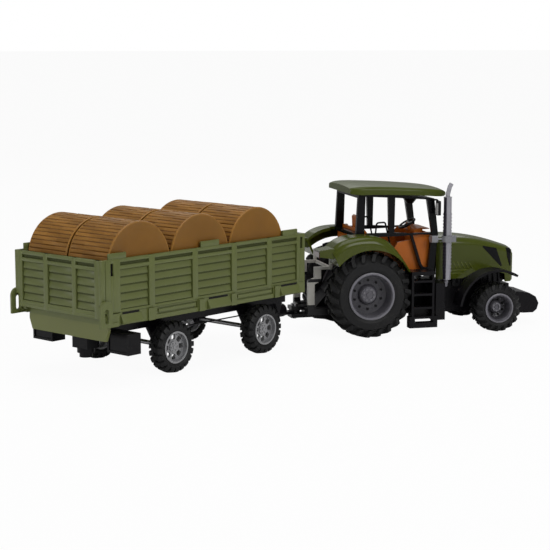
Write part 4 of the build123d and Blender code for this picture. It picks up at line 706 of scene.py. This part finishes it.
# ---------------------------------------------------------------- rear lift frame
# The rear lift is moulded as one frame. Its lower arms and drawbar lugs are black, and the
# upright link plates above them are pale grey, crossed by one thin black band.
plate_grey = (0.47, 0.455, 0.42)
arm_black = (0.0065, 0.006, 0.0075)
lift_low, lift_high = 0.020, 0.120


def colour_ramp(tree, factor, stops):
    """A colour ramp on a factor, from stops of rising position, each with its colour."""
    ramp = tree.nodes.new("ShaderNodeValToRGB")
    elements = ramp.color_ramp.elements
    for index, (position, colour) in enumerate(stops):
        stop = elements[index] if index < 2 else elements.new(position)
        stop.position = position
        stop.color = (*colour, 1)
    tree.links.new(factor, ramp.inputs["Fac"])
    return ramp


lift_plastic = moulded("lift_two_tone", plate_grey, rough=0.36, drift=0.06)
lift_tree = lift_plastic.node_tree
lift_share = lift_tree.nodes.new("ShaderNodeMapRange")
set_inputs(lift_share, {"From Min": lift_low, "From Max": lift_high})
lift_tree.links.new(object_axes(lift_tree)["Z"], lift_share.inputs["Value"])
lift_tone = colour_ramp(lift_tree, lift_share.outputs["Result"],
                        ((0.0, arm_black), (0.10, plate_grey), (0.32, arm_black), (0.35, plate_grey)))
lift_tone.color_ramp.interpolation = "CONSTANT"
tone_over(lift_plastic, lift_tone.outputs["Color"])
dress(lift_plastic, "lift_frame")

# ---------------------------------------------------------------- tractor rims
# The deep rims are moulded in one grey. A painted highlight lightens the outer lip and the hub,
# and a painted shade darkens the dished disc behind the wheel nuts.
# the lighter greys of hub and lip are painted highlight, the dark disc greys painted shade
hub_highlight_grey = (0.115, 0.112, 0.128)
lip_highlight_grey = (0.190, 0.186, 0.205)
disc_shade_greys = ((0.30, 0.150), (0.33, 0.060), (0.74, 0.062), (0.80, 0.080), (0.90, 0.095), (0.93, 0.180))


def rim_light_and_shade(name, centre, radius):
    """The rim plastic, toned by the distance from the wheel's own axle: painted highlight on the lip and
    hub, painted shade in the disc.
    """
    material = moulded(name, lip_highlight_grey, rough=0.30, scuff=0.06)
    tree = material.node_tree
    place = tree.nodes.new("ShaderNodeTexCoord")
    flat = tree.nodes.new("ShaderNodeVectorMath")
    flat.operation = "MULTIPLY_ADD"
    flat.inputs[1].default_value = (1 / radius, 0, 1 / radius)
    flat.inputs[2].default_value = (-centre.x / radius, 0, -centre.z / radius)
    tree.links.new(place.outputs["Object"], flat.inputs[0])
    reach = tree.nodes.new("ShaderNodeVectorMath")
    reach.operation = "LENGTH"
    tree.links.new(flat.outputs["Vector"], reach.inputs[0])
    disc_shade_stops = [(position, (grey, grey * 0.97, grey * 1.12)) for position, grey in disc_shade_greys]
    ramp = colour_ramp(tree, reach.outputs["Value"], [(0.0, hub_highlight_grey), *disc_shade_stops, (1.0, lip_highlight_grey)])
    tone_over(material, ramp.outputs["Color"])
    return material


for rims in ("rear_rims", "front_rims"):
    low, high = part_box(rims)
    dress(rim_light_and_shade(f"{rims}_grey", (low + high) / 2, (high.z - low.z) / 2), rims)

# ---------------------------------------------------------------- wheel nuts and disc plugs
# Each tractor rim has a ring of pale moulded nuts on its hub and a wider ring of black plugs
# in its disc. They are turned bars set into the rim, and they roll with the wheels.
nut_plastic = moulded("nut_grey", (0.200, 0.196, 0.215), rough=0.30, drift=0.05, scuff=0.05)
nut_radius, nut_rise = 1.05, 1.5
nut_stand = 2.0
nut_ring_share = 0.62
plug_radius, plug_rise = 1.25, 1.2
plug_sink = 0.9
lip_width = 3.6
bar_sides = 12
for wheels, dish, hub_radius, nut_count, plug_count in (
    ("rear", 13.0, 8.6, 8, 10),
    ("front", 11.0, 5.6, 6, 8),
):
    low, high = (corner * 1000 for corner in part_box(f"{wheels}_rims"))
    centre = (low + high) / 2
    rim_radius = (high.z - low.z) / 2
    nut_ring = hub_radius * nut_ring_share
    plug_ring = (hub_radius + rim_radius - lip_width) / 2
    nuts, plugs = bmesh.new(), bmesh.new()
    for side in (-1, 1):
        face_y = side * high.y
        for form, count, ring, bar, start, rise in (
            (nuts, nut_count, nut_ring, nut_radius, dish - nut_stand, nut_rise),
            (plugs, plug_count, plug_ring, plug_radius, dish + plug_sink, plug_rise),
        ):
            for k in range(count):
                angle = 2 * math.pi * (k + 0.5) / count
                spot = tractor_point(centre.x + ring * math.cos(angle), face_y - side * start,
                                     centre.z + ring * math.sin(angle))
                ring_prism(form, spot, bar, tractor_point(0, side * rise, 0), bar_sides)
    finish_piece(nuts, f"{wheels}_wheel_nuts", nut_plastic, f"{wheels}_wheels")
    finish_piece(plugs, f"{wheels}_disc_plugs", black_plastic, f"{wheels}_wheels")

# ---------------------------------------------------------------- engine block
# Under the hood, between the front mudguards, stands the dark ribbed side of the moulded
# engine. It is black plastic and fills the space above the front axle.
engine_outline = ((97, 40.6), (97, 60.0), (128, 63.0), (151.5, 60.0), (151.5, 45.0), (146.0, 40.6))
engine_half_width, engine_ease = 15.5, 0.5
rib_root, rib_rise, rib_ease = 15.3, 1.4, 0.3
rib_count, rib_start, rib_pitch, rib_width = 9, 100, 5.6, 2.6
rib_low, rib_high = 43.5, 58.5
engine = bmesh.new()
add_prism(engine, [tractor_point(forward, engine_half_width, up) for forward, up in engine_outline],
          tractor_point(0, -2 * engine_half_width, 0), engine_ease)
for rib in range(rib_count):
    start = rib_start + rib * rib_pitch
    end = start + rib_width
    outline = ((start, rib_low), (end, rib_low), (end, rib_high), (start, rib_high))
    for side in (-1, 1):
        flank_rib(engine, side, outline, rib_root, rib_rise, rib_ease)
finish_piece(engine, "engine_block", black_plastic, "tractor")

# ---------------------------------------------------------------- round bales
# Each bale is a drum moulded in caramel plastic. Its wrapping shows as long combed slats with
# dark joints between them, and its flat ends have a thin paler rim.
straw_joint = (0.085, 0.026, 0.004)
straw_slat = (0.240, 0.108, 0.014)
straw_rim = (0.46, 0.22, 0.045)
straw = bpy.data.materials.new("combed_straw")
straw.use_nodes = True
straw_tree = straw.node_tree
straw_shader = straw_tree.nodes["Principled BSDF"]
set_inputs(straw_shader, {"Specular IOR Level": 0.3, "Subsurface Weight": 0.12,
                          "Subsurface Radius": (0.004, 0.002, 0.0008)})
straw_place = straw_tree.nodes.new("ShaderNodeTexCoord")
straw_base = straw_tree.nodes.new("ShaderNodeGroup")
straw_base.node_tree = skin
set_inputs(straw_base, {"Drift": 0.10, "Scuff": 0.05, "Dust": 0.02, "Roughness": 0.5, "Peel": 700})
straw_tree.links.new(straw_place.outputs["Object"], straw_base.inputs["Vector"])
rim_mask = straw_tree.nodes.new("ShaderNodeAttribute")
rim_mask.attribute_name = "rim"
straw_tone = colour_ramp(straw_tree, rim_mask.outputs["Fac"],
                         ((0.0, straw_joint), (0.5, straw_slat), (1.0, straw_rim)))
tone_over(straw, straw_tone.outputs["Color"])
straw_tree.links.new(straw_base.outputs["Colour"], straw_shader.inputs["Base Color"])
straw_tree.links.new(straw_base.outputs["Roughness"], straw_shader.inputs["Roughness"])

# combed grain, drawn out along the slats
grain_place = straw_tree.nodes.new("ShaderNodeMapping")
set_inputs(grain_place, {"Rotation": (0, 0, -trailer_turn), "Scale": (1.0, 0.12, 1.0)})
straw_tree.links.new(straw_place.outputs["Object"], grain_place.inputs["Vector"])
grain = straw_tree.nodes.new("ShaderNodeTexNoise")
set_inputs(grain, {"Scale": 900, "Detail": 3})
straw_tree.links.new(grain_place.outputs["Vector"], grain.inputs["Vector"])
straw_relief = straw_tree.nodes.new("ShaderNodeBump")
set_inputs(straw_relief, {"Strength": 0.5, "Distance": 0.0001})
straw_tree.links.new(grain.outputs["Fac"], straw_relief.inputs["Height"])
straw_tree.links.new(straw_relief.outputs["Normal"], straw_shader.inputs["Normal"])

bale_radius = 0.0353
bale_length = 0.0492
slats = 58
points_per_slat = 6
slat_joint = 0.0007
slat_drop = 0.0002
slat_wobble = 0.00022
flange_chamfer = 0.0005
end_stations = (0.0, 0.0011, 0.0014)
belt_stations = (0.0165, 0.0172, 0.0320, 0.0327)
stations = (*end_stations, *belt_stations, *(bale_length - station for station in reversed(end_stations)))
last_level = len(stations) - 1
lid_steps = ((0.0007, 0.0, 0.62), (0.0008, 0.0003, 0.50), (0.012, 0.0, 0.45))
along_bale = Vector((-math.sin(trailer_turn), math.cos(trailer_turn), 0))
bale_turn = along_bale.to_track_quat("Z", "Y").to_matrix().to_4x4()


def around(vert):
    """The angle of a point around the bale."""
    return math.atan2(vert.co.y, vert.co.x)


bale_names = [f"bale_{place}_{row}" for place in ("front", "middle", "rear") for row in ("left", "right")]
for bale_index, bale_name in enumerate(bale_names):
    low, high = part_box(bale_name)
    drum = bmesh.new()
    rim_amount = drum.verts.layers.float.new("rim")
    points = slats * points_per_slat
    circle = bmesh.ops.create_circle(drum, cap_ends=False, segments=points, radius=1.0)["verts"]
    rings = [sorted(circle, key=around)]
    edges = drum.edges[:]
    for station in stations[1:]:
        grown = bmesh.ops.extrude_edge_only(drum, edges=edges)["geom"]
        fresh = [item for item in grown if isinstance(item, bmesh.types.BMVert)]
        edges = [item for item in grown if isinstance(item, bmesh.types.BMEdge)
                 and item.verts[0] in fresh and item.verts[1] in fresh]
        for vert in fresh:
            vert.co.z = station
        rings.append(sorted(fresh, key=around))

    for level, verts in enumerate(rings):
        for index, vert in enumerate(verts):
            slat, point = divmod(index, points_per_slat)
            if level in (0, last_level):
                size = bale_radius - flange_chamfer
                vert[rim_amount] = 0.66
            elif level in (1, last_level - 1):
                size = bale_radius
                vert[rim_amount] = 0.66
            elif point == 0:
                size = bale_radius - slat_joint
                vert[rim_amount] = 0.10
            else:
                # a slow, repeatable wobble keeps the wrapping from looking turned
                wobble = slat_wobble * math.sin(slat * 2.4 + bale_index * 1.7 + level * 1.3)
                size = bale_radius - slat_drop + wobble
                vert[rim_amount] = 0.56 + 0.10 * math.sin(slat * 5.1 + bale_index + level)
            direction = Vector((vert.co.x, vert.co.y, 0)).normalized()
            vert.co.x = direction.x * size
            vert.co.y = direction.y * size

    # each flat end is stepped in towards its middle
    for verts, inwards in ((rings[0], 1), (rings[-1], -1)):
        rim = set(verts)
        loop = [edge for edge in drum.edges if edge.verts[0] in rim and edge.verts[1] in rim]
        lid = bmesh.ops.edgeloop_fill(drum, edges=loop)["faces"]
        for width, drop, amount in lid_steps:
            bmesh.ops.inset_region(drum, faces=lid, thickness=width, depth=0, use_even_offset=True)
            for vert in {vert for face in lid for vert in face.verts}:
                vert.co.z += inwards * drop
                vert[rim_amount] = amount
    bmesh.ops.translate(drum, vec=(0, 0, -bale_length / 2), verts=drum.verts)
    bale = finish_piece(drum, f"straw_{bale_name}", straw, f"{bale_name}_body",
                        Matrix.Translation((low + high) / 2) @ bale_turn)
    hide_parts(bale_name)
